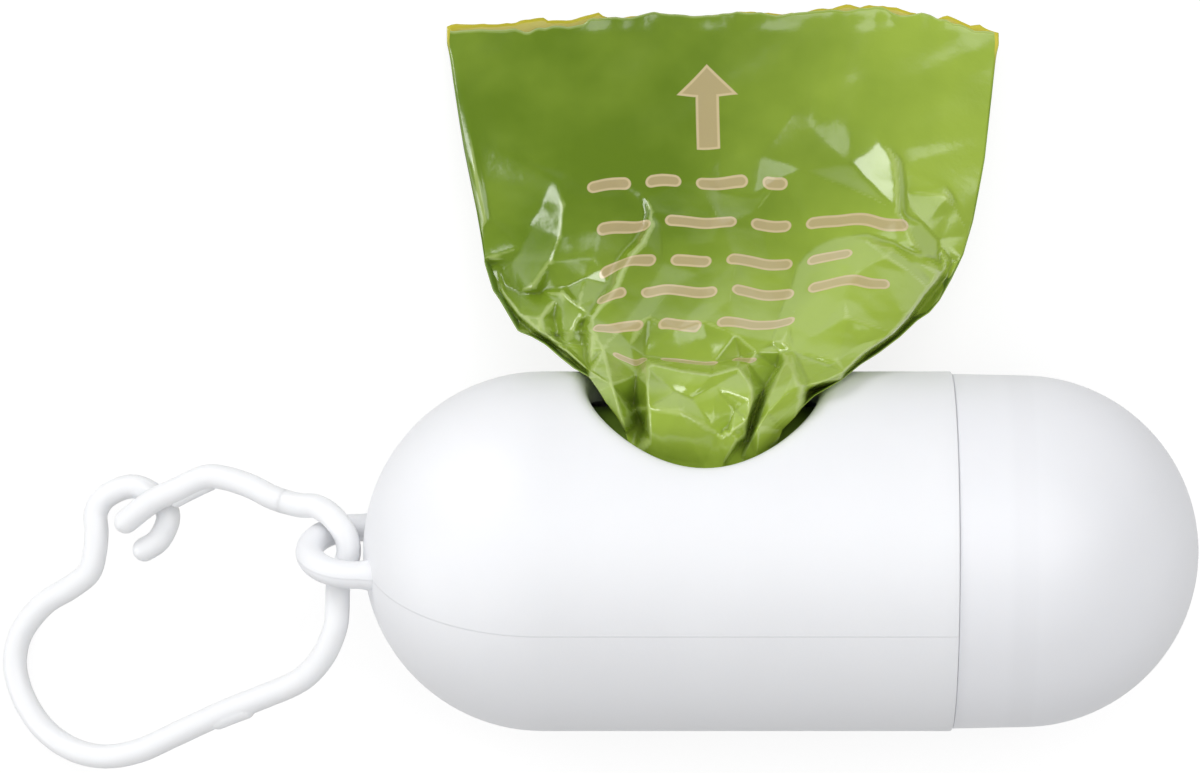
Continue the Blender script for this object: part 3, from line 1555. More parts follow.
# Fold lines of the film: places across and along it, and height over its plain form.
CREASES: dict[str, Points] = {
    "left_turn": (
        (-10.6, 13, -1), (-9.6, 11.1, -1.6), (-8.8, 9.2, -0.6), (-7.4, 7.5, 0.2), (-5.4, 5.9, 0.9),
        (-4.1, 5, 1.2), (-2.3, 3.7, 1.4), (-0.3, 1.9, 1.6),
    ),
    "left_slot": (
        (-11.1, 13, -1.2), (-9.8, 10.6, -1.6), (-9.1, 8.9, -2.2), (-7.7, 7.2, -2.2),
        (-5.6, 5.5, -2.2), (-4.3, 4.6, -2.4), (-2.5, 3.3, -2.6), (-0.6, 1.6, -3),
    ),
    "right_turn": (
        (36, 13, 0), (35.9, 12, 0.2), (34.3, 10.4, 1.6), (31.9, 7.3, 2.6), (30.4, 5.8, 2.7),
        (27.4, 3.8, 2.5), (25.1, 1.8, 2.2), (23.2, 0.9, 1.8), (21.2, 0.4, 1.2),
    ),
    "right_slot": (
        (36.8, 13, -1), (36.3, 11.6, -1.6), (34.9, 9.9, -2.2), (32.5, 7, -2.4), (30.9, 5.4, -2.5),
        (28, 3.3, -2.6), (25.6, 1.3, -2.8), (23.5, 0.2, -3.2), (21.6, -0.2, -3.6),
    ),
    "bulge_foot": (
        (-9.5, 12, -1.7), (-8.4, 13.2, -1.1), (-7.5, 14.5, -0.6), (-6.4, 16.8, 0.2),
        (-5.1, 19.2, 0.8), (-4.5, 20.6, 1.1), (-3.8, 21.6, 1.3),
    ),
    "bulge_ridge": (
        (-3.8, 21.6, 1.3), (-3.1, 18.9, 1.8), (-3.4, 15.7, 1.4), (-4.4, 13, 0.6), (-6.1, 10.4, -1),
    ),
    "bulge_toe": ((-9.5, 12, -1.7), (-9.1, 10.6, -2.1), (-7.6, 9.9, -2.2), (-6.1, 10.4, -1)),
    "bulge_top": ((-3.8, 21.6, 1.2), (-2.4, 22.2, 1.2), (0.3, 22.7, 1)),
    "plateau": ((0.4, 22.5, 1), (0.7, 19.5, 1.3), (0.9, 16.4, 1.1), (-0.1, 13.5, 0.5)),
    "valley_left": ((0.7, 12.4, 0), (-0.8, 11.4, -0.8), (-2.8, 10.4, -1.5), (-5.4, 9.9, -2.4)),
    "flap_high": (
        (5.2, 19.9, 0.4), (5.9, 18.2, 0.8), (6, 16.8, 1.2), (5.1, 15, 1.5), (4, 13.8, 1.6),
        (3, 12.1, 1.6), (2.5, 10.7, 1.5), (1.6, 9.4, 1.4), (0.7, 8.5, 1.3), (-0.1, 7.3, 1.1),
        (-0.5, 6, 1),
    ),
    "flap_low": (
        (4.8, 19.7, 0.2), (5.4, 18.2, 0.1), (5.2, 16.8, -0.1), (4.1, 15.2, -0.2), (3, 14.1, -0.2),
        (2, 12.2, -0.2), (1.7, 10.7, -0.2), (0.8, 9.5, -0.1), (0, 8.5, 0), (-0.7, 7.4, 0),
    ),
    "centre_line": (
        (11.7, 24.7, 0.1), (11.8, 22.1, 0.2), (11.8, 19.5, 0.5), (11.9, 15.3, 0.7),
        (11.8, 10.7, 0.5),
    ),
    "mid_bulge_left": ((6.9, 16.9, 0.7), (9.3, 17.5, 0.9), (11.8, 18, 0.7)),
    "mid_bulge_right": ((13.2, 16.9, 0.8), (14.5, 13, 0.7), (15.1, 9.1, 0.5)),
    "mid_valley": ((16.6, 18.2, 0.2), (17.4, 16.4, -0.1), (17.9, 13.8, -0.2), (18, 10.1, -0.3)),
    "shelf_line": ((11, 22, 0.1), (13, 20.5, -0.3), (16.6, 19.9, -0.2), (19.5, 22, -0.2)),
    "mid_crumple_a": ((7.2, 13, 0.5), (9.9, 13.7, 0.9), (10.9, 11.7, 0.6)),
    "mid_crumple_b": ((4.8, 9.1, 0.6), (7.6, 9.9, 1), (10.9, 8.7, 0.6), (13.9, 9.1, 0.9)),
    "mid_crumple_c": ((2.7, 6, 0.8), (5.6, 7.3, 1.1), (8.4, 6, 0.6), (11.2, 6.9, 1), (14.4, 5.5, 0.7)),
    "star_a": ((-3.1, 10, 0.3), (-1.5, 8.6, 0.3), (-0.1, 7.3, 0.4)),
    "star_b": ((-3.1, 10, 0.3), (-3.1, 7.6, -0.9), (-3, 4.8, -1.4)),
    "star_c": ((-1.5, 8.6, 0.3), (-1.6, 7, -0.4), (-2.2, 5.6, -1), (-2.7, 4.7, -1.3)),
    "star_base": ((-4, 4.7, -0.4), (-2.7, 4.4, -0.6), (-0.3, 2, 0.6)),
    "star_valley": ((-3.7, 9.1, -0.7), (-4, 7.5, -1.7), (-3.6, 5.4, -1.9)),
    "star_peak": ((-5.3, 7.3, 0.5), (-4.8, 6, 0.2), (-4.2, 5, -0.2)),
    "tongue_valley": ((-1, 6.9, -1.4), (-0.8, 4.5, -2), (-0.5, 2.2, -2)),
    "tongue_edge": (
        (-0.3, 6.3, 1.5), (-0.4, 4, 1.5), (-0.5, 1, 0.3), (0.3, -0.2, 0.2), (1.3, -1.3, 0.2),
        (2.6, -3.4, 0),
    ),
    "tongue_ridge": ((1, 4.2, 2.2), (1.9, 0.5, 2), (3.1, -3.5, 0.8)),
    "tongue_right": ((3.7, 4.5, 0.3), (4.4, 1.5, -1.4), (4.7, -1.4, -2.7), (3.7, -2.3, -1.4)),
    "tongue_gap": ((-1, 0.6, -4), (-0.2, -0.6, -5), (0.8, -1.8, -5), (2.1, -3.9, -4)),
    "dark_pit": ((4.1, -1.5, -5.4), (4.7, -3.5, -5.7), (3.5, -4.6, -4.8)),
    "pocket_top": (
        (5.5, 2.4, 2), (5.9, 2.6, 2.5), (8.7, 1.9, 2.7), (11.9, 1.5, 2.7), (14.5, 2.2, 2.7),
        (15.9, 0.2, 2.2),
    ),
    "pocket_behind": ((5.2, 3.3, -2), (8.8, 2.9, -2.2), (12, 2.6, -2.4), (14.9, 3.2, -2.7)),
    "pocket_left": ((5.5, 2.4, 2), (5.4, 0.5, 2), (5.5, -1.8, 1.5), (5.7, -5, 0.7), (6.2, -6.8, 0.2)),
    "pocket_right": ((15.9, 0.2, 2.2), (15.9, -1.1, 1.9), (15.3, -3, 1.4), (15.2, -4.6, 0.2)),
    "pocket_fold": (
        (6.3, 1.4, 1.5), (8.2, -0.2, 0.7), (9.7, -0.8, 0.7), (12.2, 0.4, 1.2), (14.4, 1.6, 1.9),
    ),
    "pocket_peak": ((6.2, -6.5, 0.3), (8.7, -2.2, 2), (11.9, -3.4, 0.7), (12.3, -4.4, 0)),
    "small_tongue": ((11, -7.7, 0), (12.3, -4.4, 0.7), (13.7, -4.2, 1.5), (15.2, -4.7, 0.3)),
    "small_ridge": ((14.4, -5, 1.4), (12.9, -7.6, 0.3)),
    "pocket_facet": ((13.3, -4.2, 0), (14.1, -2, 0.3), (15.5, -1, 1.9)),
    "wedge": (
        (13.8, -6.8, -3.3), (14.7, -5.9, -3.9), (15.5, -5, -4.2), (16.3, -2.2, -5.1),
        (17.3, 0.2, -5.4), (18.6, 2.2, -3.9),
    ),
    "right_border": (
        (19.3, 3, 0.7), (17.6, -0.2, 0.5), (16.5, -2.8, 0.3), (15.6, -5.2, 0), (14.9, -6.5, -0.7),
    ),
    "right_ridge": ((20.5, 0.5, 2.2), (19, -0.6, 1.7), (17.4, -2.2, 1.4), (16.4, -3.8, 1)),
    "right_top": ((20.1, 1.8, 2.2), (20.5, 0.5, 2.2), (21.1, 0.4, 1.7), (20.7, -1.2, 1), (19.3, -4, 0)),
    "right_low": ((16.4, -3.8, 2), (16.4, -5.5, 1), (16.3, -6.6, 0.3)),
    "right_edge": ((21.5, 0.1, 0.3), (21.2, -1.3, 0), (19.6, -4.1, 0), (17.4, -6, 0)),
    "right_gap": ((22.2, -0.1, -4), (21.9, -1.5, -4.5), (20.3, -4.3, -4), (18, -6.3, -3.5)),
    "right_facet": (
        (20.2, 3.9, 0), (22.1, 5.4, 1.1), (25.6, 7.3, 2.6), (26.8, 4.5, 1.8), (25.1, 1.8, 2.2),
    ),
    "right_facet_ridge": ((20.2, 3.9, 0), (24.6, 2.9, 1.5), (25.1, 1.8, 2.2)),
    "right_hollow": ((18.9, 3.8, -0.8), (18.1, 4.5, -0.9), (16.5, 3.8, -0.7), (15.6, 2.6, -0.6)),
    "right_curve": ((21.5, 0.9, 0.6), (23.8, 2.4, 0.5)),
    "right_crest": (
        (28.1, 15.1, 0.8), (26.5, 14.8, 0.6), (25, 14.4, 0.5), (23.8, 13.8, 0.4), (23, 13, 0.3),
        (22.3, 12.1, 0.2), (21.9, 11.2, 0.2), (21.4, 9.8, 0.1), (20.7, 8.6, 0.1), (19.9, 6.6, 0.2),
        (19.2, 4.8, 0.4),
    ),
    "right_crest_foot": (
        (28.2, 15.9, 0), (26.3, 15.7, 0), (24.4, 15.3, -0.2), (22.7, 14.6, -0.4),
        (21.6, 13.7, -0.5), (20.8, 12.4, -0.6), (20.4, 11.1, -0.6), (19.8, 9.6, -0.6),
        (19.2, 8.3, -0.6), (18.5, 6.3, -0.5), (18.1, 4.9, -0.5),
    ),
    "crest_to_corner": ((28.1, 15.1, 0.6), (30.6, 14.3, 1.3), (32.9, 13, 0.9), (35.2, 12, 0.9)),
    "crest_below": (
        (29.9, 13.5, 2.1), (28.3, 12.8, 2.1), (27, 12, 2.1), (26.2, 10.9, 2), (25.5, 9.5, 1.9),
        (25, 8.3, 1.9),
    ),
    "crest_far": ((29.9, 13.5, 2.1), (32.5, 11.9, 1.6), (34.3, 11.2, 1)),
    "crest_back": ((28.2, 15.9, 0), (30.9, 15, 0), (33.9, 13.7, 0), (35.4, 12.6, 0.2)),
    "upper_ridge": ((31.2, 18.4, 0.7), (32.2, 16.6, 0.6), (32.9, 14.8, 0.5), (33.9, 13.7, 0)),
    "upper_valley": ((32.1, 18, -0.2), (34, 17, -0.5), (35.5, 15.3, -0.9), (35.8, 13, -1.2)),
    "facet_bright": (
        (26.6, 23.4, -0.8), (28.6, 24.5, 0.3), (30.5, 24.9, 1.3), (31.1, 23.7, 1.5),
        (31.3, 21.1, 1.1), (31.2, 18.4, 0.7),
    ),
    "facet_low": ((26.6, 23.4, -0.8), (28.1, 21.6, -0.3), (29.5, 20, 0.2), (31.2, 18.4, 0.7)),
    "facet_dark": ((30.9, 24.7, 0.9), (31.9, 23.1, 0.4), (32.1, 20.5, 0.1), (32.1, 18, -0.2)),
    "soft_a": ((19.6, 30, 0.2), (21.1, 29.1, 0.8), (22.4, 27.9, 0.2)),
    "soft_b": (
        (22.9, 29.4, 0.2), (24.7, 28.1, 0.6), (26.5, 27, 0.3), (29.6, 25.8, 0.8), (30.5, 24.9, 1.3),
    ),
    "soft_c": ((26.2, 20.8, 0.2), (28.7, 19.7, 0.4), (31.2, 18.4, 0.7)),
    "fleck": ((36, 20.9, 0.2), (36.5, 19.9, 0.7), (37.2, 18.8, 0.2)),
    "fleck_b": ((36.3, 21.2, 0), (36.9, 20, 0), (37.5, 18.9, 0)),
    "soft_d": ((13.1, 24.7, 0.3), (17.2, 24.1, 0.8), (21.3, 22.6, 0.2)),
    "hem_left": (
        (-14.3, 34.2, 0.5), (-13.6, 30, 0.6), (-12.7, 25.8, 0.6), (-11.9, 21.6, 0.6),
        (-11.1, 17.4, 0.3),
    ),
    "hem_left_foot": (
        (-13.8, 34.2, 0.2), (-13.1, 30, 0.2), (-12.2, 25.8, 0.2), (-11.4, 21.6, 0.1),
        (-10.6, 17.4, -0.1),
    ),
}


@dataclass(frozen=True)
class Table:
    """A curve given by a few points, read straight between them or softened."""

    points: tuple[Pair, ...]
    soften: float = 0.0

    def at(self, where: Grid) -> Grid:
        """Reads the curve.

        Args:
            where: places along it.

        Returns:
            The values there.
        """
        known = np.array(self.points)
        if not self.soften:
            return np.interp(where, known[:, 0], known[:, 1])
        shifts = np.linspace(-2.0, 2.0, 17)
        weights = np.exp(-0.5 * shifts**2)
        reads = [np.interp(where + s * self.soften, known[:, 0], known[:, 1]) for s in shifts]
        return np.tensordot(weights / weights.sum(), np.array(reads), axes=1)


def smoothstep(low: float, high: float, value: Grid) -> Grid:
    """Rises smoothly from 0 at low to 1 at high."""
    t = np.clip((value - low) / (high - low), 0.0, 1.0)
    return t * t * (3 - 2 * t)


def blurred(grid: Grid, sigma: float) -> Grid:
    """Smooths a grid of values.

    Args:
        grid: the values.
        sigma: width of the smoothing in cells.

    Returns:
        The smoothed grid.
    """
    reach = max(1, round(3 * sigma))
    kernel = np.exp(-0.5 * (np.arange(-reach, reach + 1) / sigma) ** 2)
    kernel /= kernel.sum()
    for axis in (0, 1):
        widths = [(reach, reach) if a == axis else (0, 0) for a in (0, 1)]
        padded = np.pad(grid, widths, mode="edge")
        size = grid.shape[axis]
        grid = sum(
            weight * np.take(padded, np.arange(i, i + size), axis=axis)
            for i, weight in enumerate(kernel)
        )
    return grid


NEAR_POINTS = 1e-4  # flat points nearer than this are one, in millimetres
LEAST_FACET = 1e-9  # a facet below this area is left out, in square millimetres
EDGE_SLACK = 1e-6  # share of a facet by which a point may lie outside it


def faceted(points: Sequence[Point], edges: Sequence[tuple[int, int]], across: Grid, along: Grid) -> Grid:
    """Stretches flat facets between height points and reads them on a grid.

    Args:
        points: the height points: across, along and height.
        edges: pairs of points that a facet's edge must join.
        across: the grid's places across the film.
        along: the grid's places along the film.

    Returns:
        The heights on the grid, 0 outside the points.
    """
    flat = [Vector(p[:2]) for p in points]
    verts, _, faces, from_verts, _, _ = delaunay_2d_cdt(flat, list(edges), [], 0, NEAR_POINTS)
    heights = np.zeros(len(verts))
    for i, sources in enumerate(from_verts):
        if sources:
            heights[i] = max(points[s][2] for s in sources)
            continue
        near = sorted(range(len(flat)), key=lambda k: (flat[k] - verts[i]).length_squared)[:3]
        weights = [1.0 / ((flat[k] - verts[i]).length + 1e-3) for k in near]
        heights[i] = sum(w * points[k][2] for w, k in zip(weights, near)) / sum(weights)
    out = np.zeros_like(across)
    for a, b, c in faces:
        (ax, ay), (bx, by), (cx, cy) = verts[a], verts[b], verts[c]
        area = (bx - ax) * (cy - ay) - (cx - ax) * (by - ay)
        if abs(area) < LEAST_FACET:
            continue
        wb = ((across - ax) * (cy - ay) - (cx - ax) * (along - ay)) / area
        wc = ((bx - ax) * (along - ay) - (across - ax) * (by - ay)) / area
        inside = (wb >= -EDGE_SLACK) & (wc >= -EDGE_SLACK) & (wb + wc <= 1 + EDGE_SLACK)
        facet = heights[a] * (1 - wb - wc) + heights[b] * wb + heights[c] * wc
        out[inside] = facet[inside]
    return out


@dataclass(frozen=True)
class Ramp:
    """An amount that comes in smoothly between two places along the film."""

    start: float
    end: float
    amount: float = 1.0

    def at(self, y: Grid) -> Grid:
        """Gives the amount at places along the film."""
        return self.amount * smoothstep(self.start, self.end, y)


@dataclass
class DrawnBag:
    """The drawn part of the first bag: two layers of film, gathered in the hole, torn across.

    Places across the film run along X and places along it run along Y. Facets are a pitch and a
    height.
    """

    # Where the layers start and end, their thickness and their steps.
    throat: float = -10.5
    back_from: float = -2.0
    torn: float = 38.6
    thickness: float = 0.05
    rows: int = 205
    columns: int = 186
    back_rows: int = 110
    back_columns: int = 120
    route_steps: int = 400
    seed: int = 11
    fold_lift: float = 0.055
    # Between which places the film starts to move with the drawn end.
    blend_x: float = 11.1
    blend_z: float = 30.0
    blend_from: float = -9.5
    blend_to: float = 8.0
    # The torn edge's raggedness and curl.
    tear_reach: float = 5.0
    tear_pitches: tuple[Pair, ...] = ((2.1, 0.16), (0.8, 0.13))
    tear_across: Pair = (-17.0, 45.0)
    curl_reach: float = 1.6
    curl_lift: float = 0.1
    curl_wave: float = 0.9
    curl_stretch: float = 0.7
    rim_reach: float = 3.0
    rim_facing: float = 0.7
    # The plain form: its gaps, and how high and how full its sides are.
    roll_gap: float = 0.25
    least_gap: float = 0.3
    layer_gap: float = 0.07
    side_share: float = 0.6
    side_near: Ramp = Ramp(5.0, 0.5, 0.3)
    side_far: Ramp = Ramp(13.0, 24.0, 0.34)
    fullness: float = 4.0
    fuller: Ramp = Ramp(12.0, 26.0, 6.0)
    back_fullness: int = 8
    # The folds over it, the facets between them and where each kind comes in.
    border_pitch: float = 2.5
    foot_across: Triple = (-12.0, 42.0, 4.0)
    foot_along: float = 42.0
    back_facets: Pair = (4.0, 0.12)
    facet_field: Limits = (-24.0, 46.0, -24.0, 44.0)
    jitter: float = 0.4
    deepening: Ramp = Ramp(30.0, 18.0, 0.12)
    small_facets: Pair = (3.3, 0.2)
    small_in: Ramp = Ramp(28.0, 5.0)
    small_out: Ramp = Ramp(9.0, 3.0, 0.7)
    fine_facets: Pair = (1.5, 0.08)
    fine_in: Ramp = Ramp(24.0, 2.0)
    drawn_facets: Pair = (2.9, 0.16)
    drawn_way: Pair = (0.86, 0.5)
    drawn_stretch: float = 2.6
    drawn_in: Ramp = Ramp(10.0, 18.0)
    sharp_blur: float = 0.5
    soft_blur: float = 2.2
    softening: Ramp = Ramp(18.0, 30.0)
    fade: Ramp = Ramp(-10.0, -8.2)
    # Sides and heights of the film along it, and its torn edges across it.
    left: Table = Table((
        (-10.5, 5.5), (-8.0, 4.6), (-4.0, 3.1), (-2.6, 2.3), (-1.3, 1.3), (0.0, 0.5),
        (1.28, -0.4), (2.09, -1.81), (3.31, -3.34), (4.64, -4.87), (5.46, -6.3), (5.97, -7.63),
        (9.17, -9.52), (10.21, -10.25), (13.04, -11.13), (15.32, -11.47), (18.45, -12.02),
        (21.58, -12.67), (24.72, -13.32), (27.87, -13.86), (29.97, -14.19), (32.08, -14.52),
        (33.66, -14.74), (35.24, -14.96), (36.82, -15.18), (38.1, -15.2),
    ))
    right: Table = Table((
        (-10.5, 16.7), (-8.0, 17.6), (-4.0, 18.9), (-2.7, 20.2), (-1.65, 21.0), (-0.63, 22.1),
        (0.98, 24.92), (2.5, 26.97), (3.82, 29.08), (5.35, 31.19), (7.1, 33.12), (7.93, 34.39),
        (9.17, 35.48), (11.67, 36.94), (13.86, 38.08), (17.31, 39.12), (23.91, 40.41),
        (30.51, 41.28), (37.09, 42.11),
    ))
    high: Table = Table((
        (-11.0, 32.12), (-10.0, 31.65), (-9.0, 31.15), (-8.0, 30.75), (-7.0, 30.9),
        (-6.0, 31.2), (-4.0, 31.6), (-2.0, 31.3), (0.0, 29.6), (1.3, 27.2), (3.0, 23.9),
        (5.0, 21.1), (8.0, 18.0), (10.0, 16.3), (14.0, 13.1), (18.0, 10.3), (24.6, 6.9),
        (32.0, 3.8), (39.1, 1.4),
    ), 0.5)
    low: Table = Table((
        (-8.0, 14.0), (0.0, 13.9), (2.2, 13.7), (3.9, 10.0), (6.2, 7.0), (10.4, 3.5),
        (13.9, 1.5), (18.0, 0.8), (24.6, 0.3), (32.0, 0.2), (39.1, 0.2),
    ), 0.7)
    torn_front: Table = Table((
        (-15.19, 37.58), (-14.36, 37.42), (-12.8, 37.26), (-11.55, 37.37), (-9.68, 37.32),
        (-8.12, 37.53), (-7.08, 37.26), (-6.04, 37.58), (-5.11, 37.79), (-3.45, 37.84),
        (-1.89, 37.89), (-1.06, 37.95), (-0.33, 38.37), (0.81, 38.63), (2.27, 38.73),
        (3.83, 38.57), (4.87, 38.84), (6.43, 39.05), (7.99, 38.84), (9.55, 38.99),
        (11.1, 38.84), (12.66, 38.99), (14.22, 39.26), (15.78, 39.31), (17.34, 39.2),
        (18.9, 38.99), (20.46, 39.2), (22.96, 39.31), (24.31, 39.26), (26.91, 39.41),
        (29.09, 39.67), (30.23, 39.57), (31.89, 38.89), (33.04, 38.94), (34.18, 39.05),
        (35.94, 38.42), (37.29, 38.1), (38.43, 37.79), (39.57, 37.47), (40.72, 37.42),
        (42.06, 37.05),
    ))
    torn_back: Table = Table((
        (-15.19, 37.6), (-14.36, 37.95), (-12.8, 38.16), (-11.55, 38.21), (-10.72, 38.05),
        (-8.44, 38.1), (-6.57, 38.42), (-5.11, 38.68), (-4.9, 38.37), (-3.45, 38.57),
        (-1.89, 38.63), (-1.06, 38.89), (0.61, 39.1), (1.13, 38.78), (2.79, 38.73),
        (4.87, 38.99), (6.43, 39.15), (7.99, 38.89), (11.1, 38.89), (14.22, 39.2),
        (15.78, 39.36), (18.9, 39.05), (22.02, 39.2), (23.37, 39.52), (24.62, 39.72),
        (26.28, 40.14), (26.91, 39.98), (27.53, 39.78), (29.19, 39.98), (30.75, 39.78),
        (31.48, 39.83), (32.83, 39.05), (34.39, 38.99), (35.95, 38.78), (36.78, 38.84),
        (37.92, 38.31), (39.37, 37.79), (40.1, 38.1), (40.93, 37.58), (42.06, 37.05),
    ))

    def build(self) -> list[Piece]:
        """Lays both layers, dresses them and lets the drawn end move with the bag.

        Returns:
            The two layers.
        """
        front = self.layer("film_front", self.rows, self.columns, self.front_form, False)
        back = self.layer("film_back", self.back_rows, self.back_columns, self.back_form, True)
        start, end = (
            Vector((self.blend_x, y, self.blend_z)) * MM for y in (self.blend_from, self.blend_to)
        )
        for piece in (front, back):
            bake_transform(piece, "shell", "bag", start=start, end=end)
            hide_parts("leading_bag")
            log.info("%s: %d faces, drawn out", piece.name, len(piece.data.polygons))
        return [front, back]

    def layer(
        self,
        name: str,
        rows: int,
        columns: int,
        form: Callable[[Grid, Grid], Grid],
        turned: bool,
    ) -> Piece:
        """Adds a grid, moves its points into the film's form and gives it its thickness.

        Args:
            name: name of the piece.
            rows: steps along the film.
            columns: steps across it.
            form: places the grid's points, from shares across and along.
            turned: whether the bag's outside is the underside.

        Returns:
            The closed sheet.
        """
        grid = bpy.ops.mesh.primitive_grid_add
        piece = added(name, grid, x_subdivisions=columns, y_subdivisions=rows, size=1.0)
        mesh = piece.data
        flat = np.empty(len(mesh.vertices) * 3)
        mesh.vertices.foreach_get("co", flat)
        flat = flat.reshape(-1, 3)
        order = np.lexsort((flat[:, 0].round(5), flat[:, 1].round(5)))
        share = flat[order].reshape(rows + 1, columns + 1, 3)[:, :, :2] + 0.5
        placed = form(share[:, :, 0], share[:, :, 1])
        coords = np.empty_like(flat)
        coords[order] = placed.reshape(-1, 3) * MM
        mesh.vertices.foreach_set("co", coords.ravel())
        length = self.write_maps(mesh, placed, order, not turned)
        mesh.update()
        self.thicken(piece, turned)
        return piece

    def write_maps(self, mesh: bpy.types.Mesh, placed: Grid, order: Grid, bent: bool) -> float:
        """Writes where each point lies on the flat film, and how sharply the film bends there.

        Args:
            mesh: the film's mesh.
            placed: the grid's points.
            order: number of each grid point in the mesh.
            bent: whether the folds are marked.

        Returns:
            The drawn length.
        """
        length, across, down = self.flat_places(placed)
        for layer in list(mesh.uv_layers):
            mesh.uv_layers.remove(layer)
        uv = mesh.uv_layers.new(name=FLAT_MAP)
        lookup = np.empty((len(order), 2))
        lookup[order] = np.stack([across.ravel(), down.ravel()], axis=1) / FLAT_UNIT
        corners = np.empty(len(mesh.loops), dtype=np.int32)
        mesh.loops.foreach_get("vertex_index", corners)
        uv.data.foreach_set("uv", lookup[corners].ravel())
        bend = np.zeros(len(order))
        if bent:
            lift = (placed[:, :, 2] - blurred(placed[:, :, 2], 1.0)) / self.fold_lift
            bend[order] = np.clip(lift, -1.0, 1.0).ravel()
        mesh.attributes.new(BEND_MAP, "FLOAT", "POINT").data.foreach_set("value", bend)
        return length

    def thicken(self, piece: Piece, turned: bool) -> None:
        """Gives the film its thickness and its two sides their finishes.

        Args:
            piece: the film.
            turned: whether the bag's outside is the underside.
        """
        mesh = piece.data
        if turned:
            with editing(piece):
                bpy.ops.mesh.select_all(action="SELECT")
                bpy.ops.mesh.flip_normals()
        mesh.materials.clear()
        for finish in (FILM_OUTSIDE, FILM_INSIDE):
            mesh.materials.append(finish.material())
        activate(piece)
        wall = piece.modifiers.new("thickness", "SOLIDIFY")
        wall.thickness, wall.offset = self.thickness * MM, -1.0
        wall.material_offset, wall.material_offset_rim = 1, 0
        bpy.ops.object.modifier_apply(modifier=wall.name)
        for face in mesh.polygons:
            torn = face.center.y > (self.torn - self.rim_reach) * MM
            if torn and face.normal.y > self.rim_facing:
                face.material_index = 1
        bpy.ops.object.shade_smooth()

    @staticmethod
    def flat_places(placed: Grid) -> tuple[float, Grid, Grid]:
        """Measures where each point lies on the film when it is pulled flat.

        Args:
            placed: the grid's points.

        Returns:
            The drawn length, the places across from the middle and down from the torn end.
        """
        soft = np.stack([blurred(placed[:, :, i], 2.0) for i in range(3)], axis=2)
        steps = np.linalg.norm(np.diff(soft, axis=1), axis=2)
        across = np.concatenate([np.zeros((len(placed), 1)), np.cumsum(steps, axis=1)], axis=1)
        middle = across.shape[1] // 2
        across = across - across[:, middle : middle + 1]
        steps = np.linalg.norm(np.diff(soft, axis=0), axis=2)
        down = np.concatenate([np.zeros((1, placed.shape[1])), np.cumsum(steps, axis=0)], axis=0)
        down = down[-1:, :] - down
        length = float(down[0, middle])
        return length, blurred(across, 2.0), blurred(down, 2.0)

    def places(self, first: float, edge: Table, across: Grid, along: Grid) -> tuple[Grid, Grid, Grid]:
        """Spreads a grid over the bag's outline, evenly along the film.

        Args:
            first: where the layer starts.
            edge: its torn edge.
            across: shares across.
            along: shares along.

        Returns:
            X, Y and the place across from -1 to 1, on the grid.
        """
        fine = np.linspace(first, self.torn, self.route_steps)
        rise = np.gradient(self.high.at(fine), fine)
        run = np.concatenate([[0.0], np.cumsum(np.hypot(1.0, rise)[1:])])
        y = np.interp(along, run / run[-1], fine)
        x = self.left.at(y) + (self.right.at(y) - self.left.at(y)) * across
        ragged = edge.at(x) + self.tatter(x, first)
        y = y + (ragged - self.torn) * smoothstep(self.torn - self.tear_reach, self.torn, y)
        return x, y, across * 2.0 - 1.0

    def tatter(self, x: Grid, first: float) -> Grid:
        """Gives the fine raggedness of a torn edge.

        Args:
            x: places across.
            first: where the layer starts, which tells the layers apart.

        Returns:
            How far the edge stands out or in.
        """
        rng = np.random.default_rng(self.seed + round(10 - first))
        total = np.zeros_like(x)
        for pitch, reach in self.tear_pitches:
            places = np.arange(*self.tear_across, pitch)
            total += np.interp(x, places, rng.uniform(-reach, reach, len(places)))
        return total

    def border(self, y: Grid) -> Grid:
        """Gives the height of the folded side edges."""
        share = self.side_share + self.side_near.at(y) + self.side_far.at(y)
        return self.low.at(y) + share * (self.high.at(y) - self.low.at(y))

    def front_form(self, across: Grid, along: Grid) -> Grid:
        """Shapes the front layer.

        Args:
            across: shares across.
            along: shares along.

        Returns:
            The grid's points in millimetres.
        """
        x, y, side = self.places(self.throat, self.torn_front, across, along)
        edge = self.border(y)
        power = self.fullness + self.fuller.at(y)
        z = edge + (self.high.at(y) - edge) * (1.0 - np.abs(side) ** power)
        z = z + self.relief(x, y)
        curl = smoothstep(self.torn - self.curl_reach, self.torn, y)
        wave = self.curl_wave * self.tatter(x * self.curl_stretch, 0.0)
        z = z + curl * (self.curl_lift + wave)
        c = CAPSULE
        over = y - c.axis_y
        roll_r = c.roll_r + self.roll_gap
        roll = c.axis_z + np.sqrt(np.maximum(roll_r**2 - over**2, 0.0))
        z = np.where(over < c.roll_r, np.maximum(z, roll), z)
        z = np.maximum(z, self.low.at(y) + self.least_gap)
        return np.stack([x, y, z], axis=2)

    def back_form(self, across: Grid, along: Grid) -> Grid:
        """Shapes the back layer.

        Args:
            across: shares across.
            along: shares along.

        Returns:
            The grid's points in millimetres.
        """
        x, y, side = self.places(self.back_from, self.torn_back, across, along)
        edge, low = self.border(y) - self.layer_gap, self.low.at(y)
        z = low + (edge - low) * np.abs(side) ** self.back_fullness
        noise = self.crumple(x, y, *self.back_facets) * (1 - side**2) + self.back_facets[1]
        return np.stack([x, y, z + np.abs(noise)], axis=2)

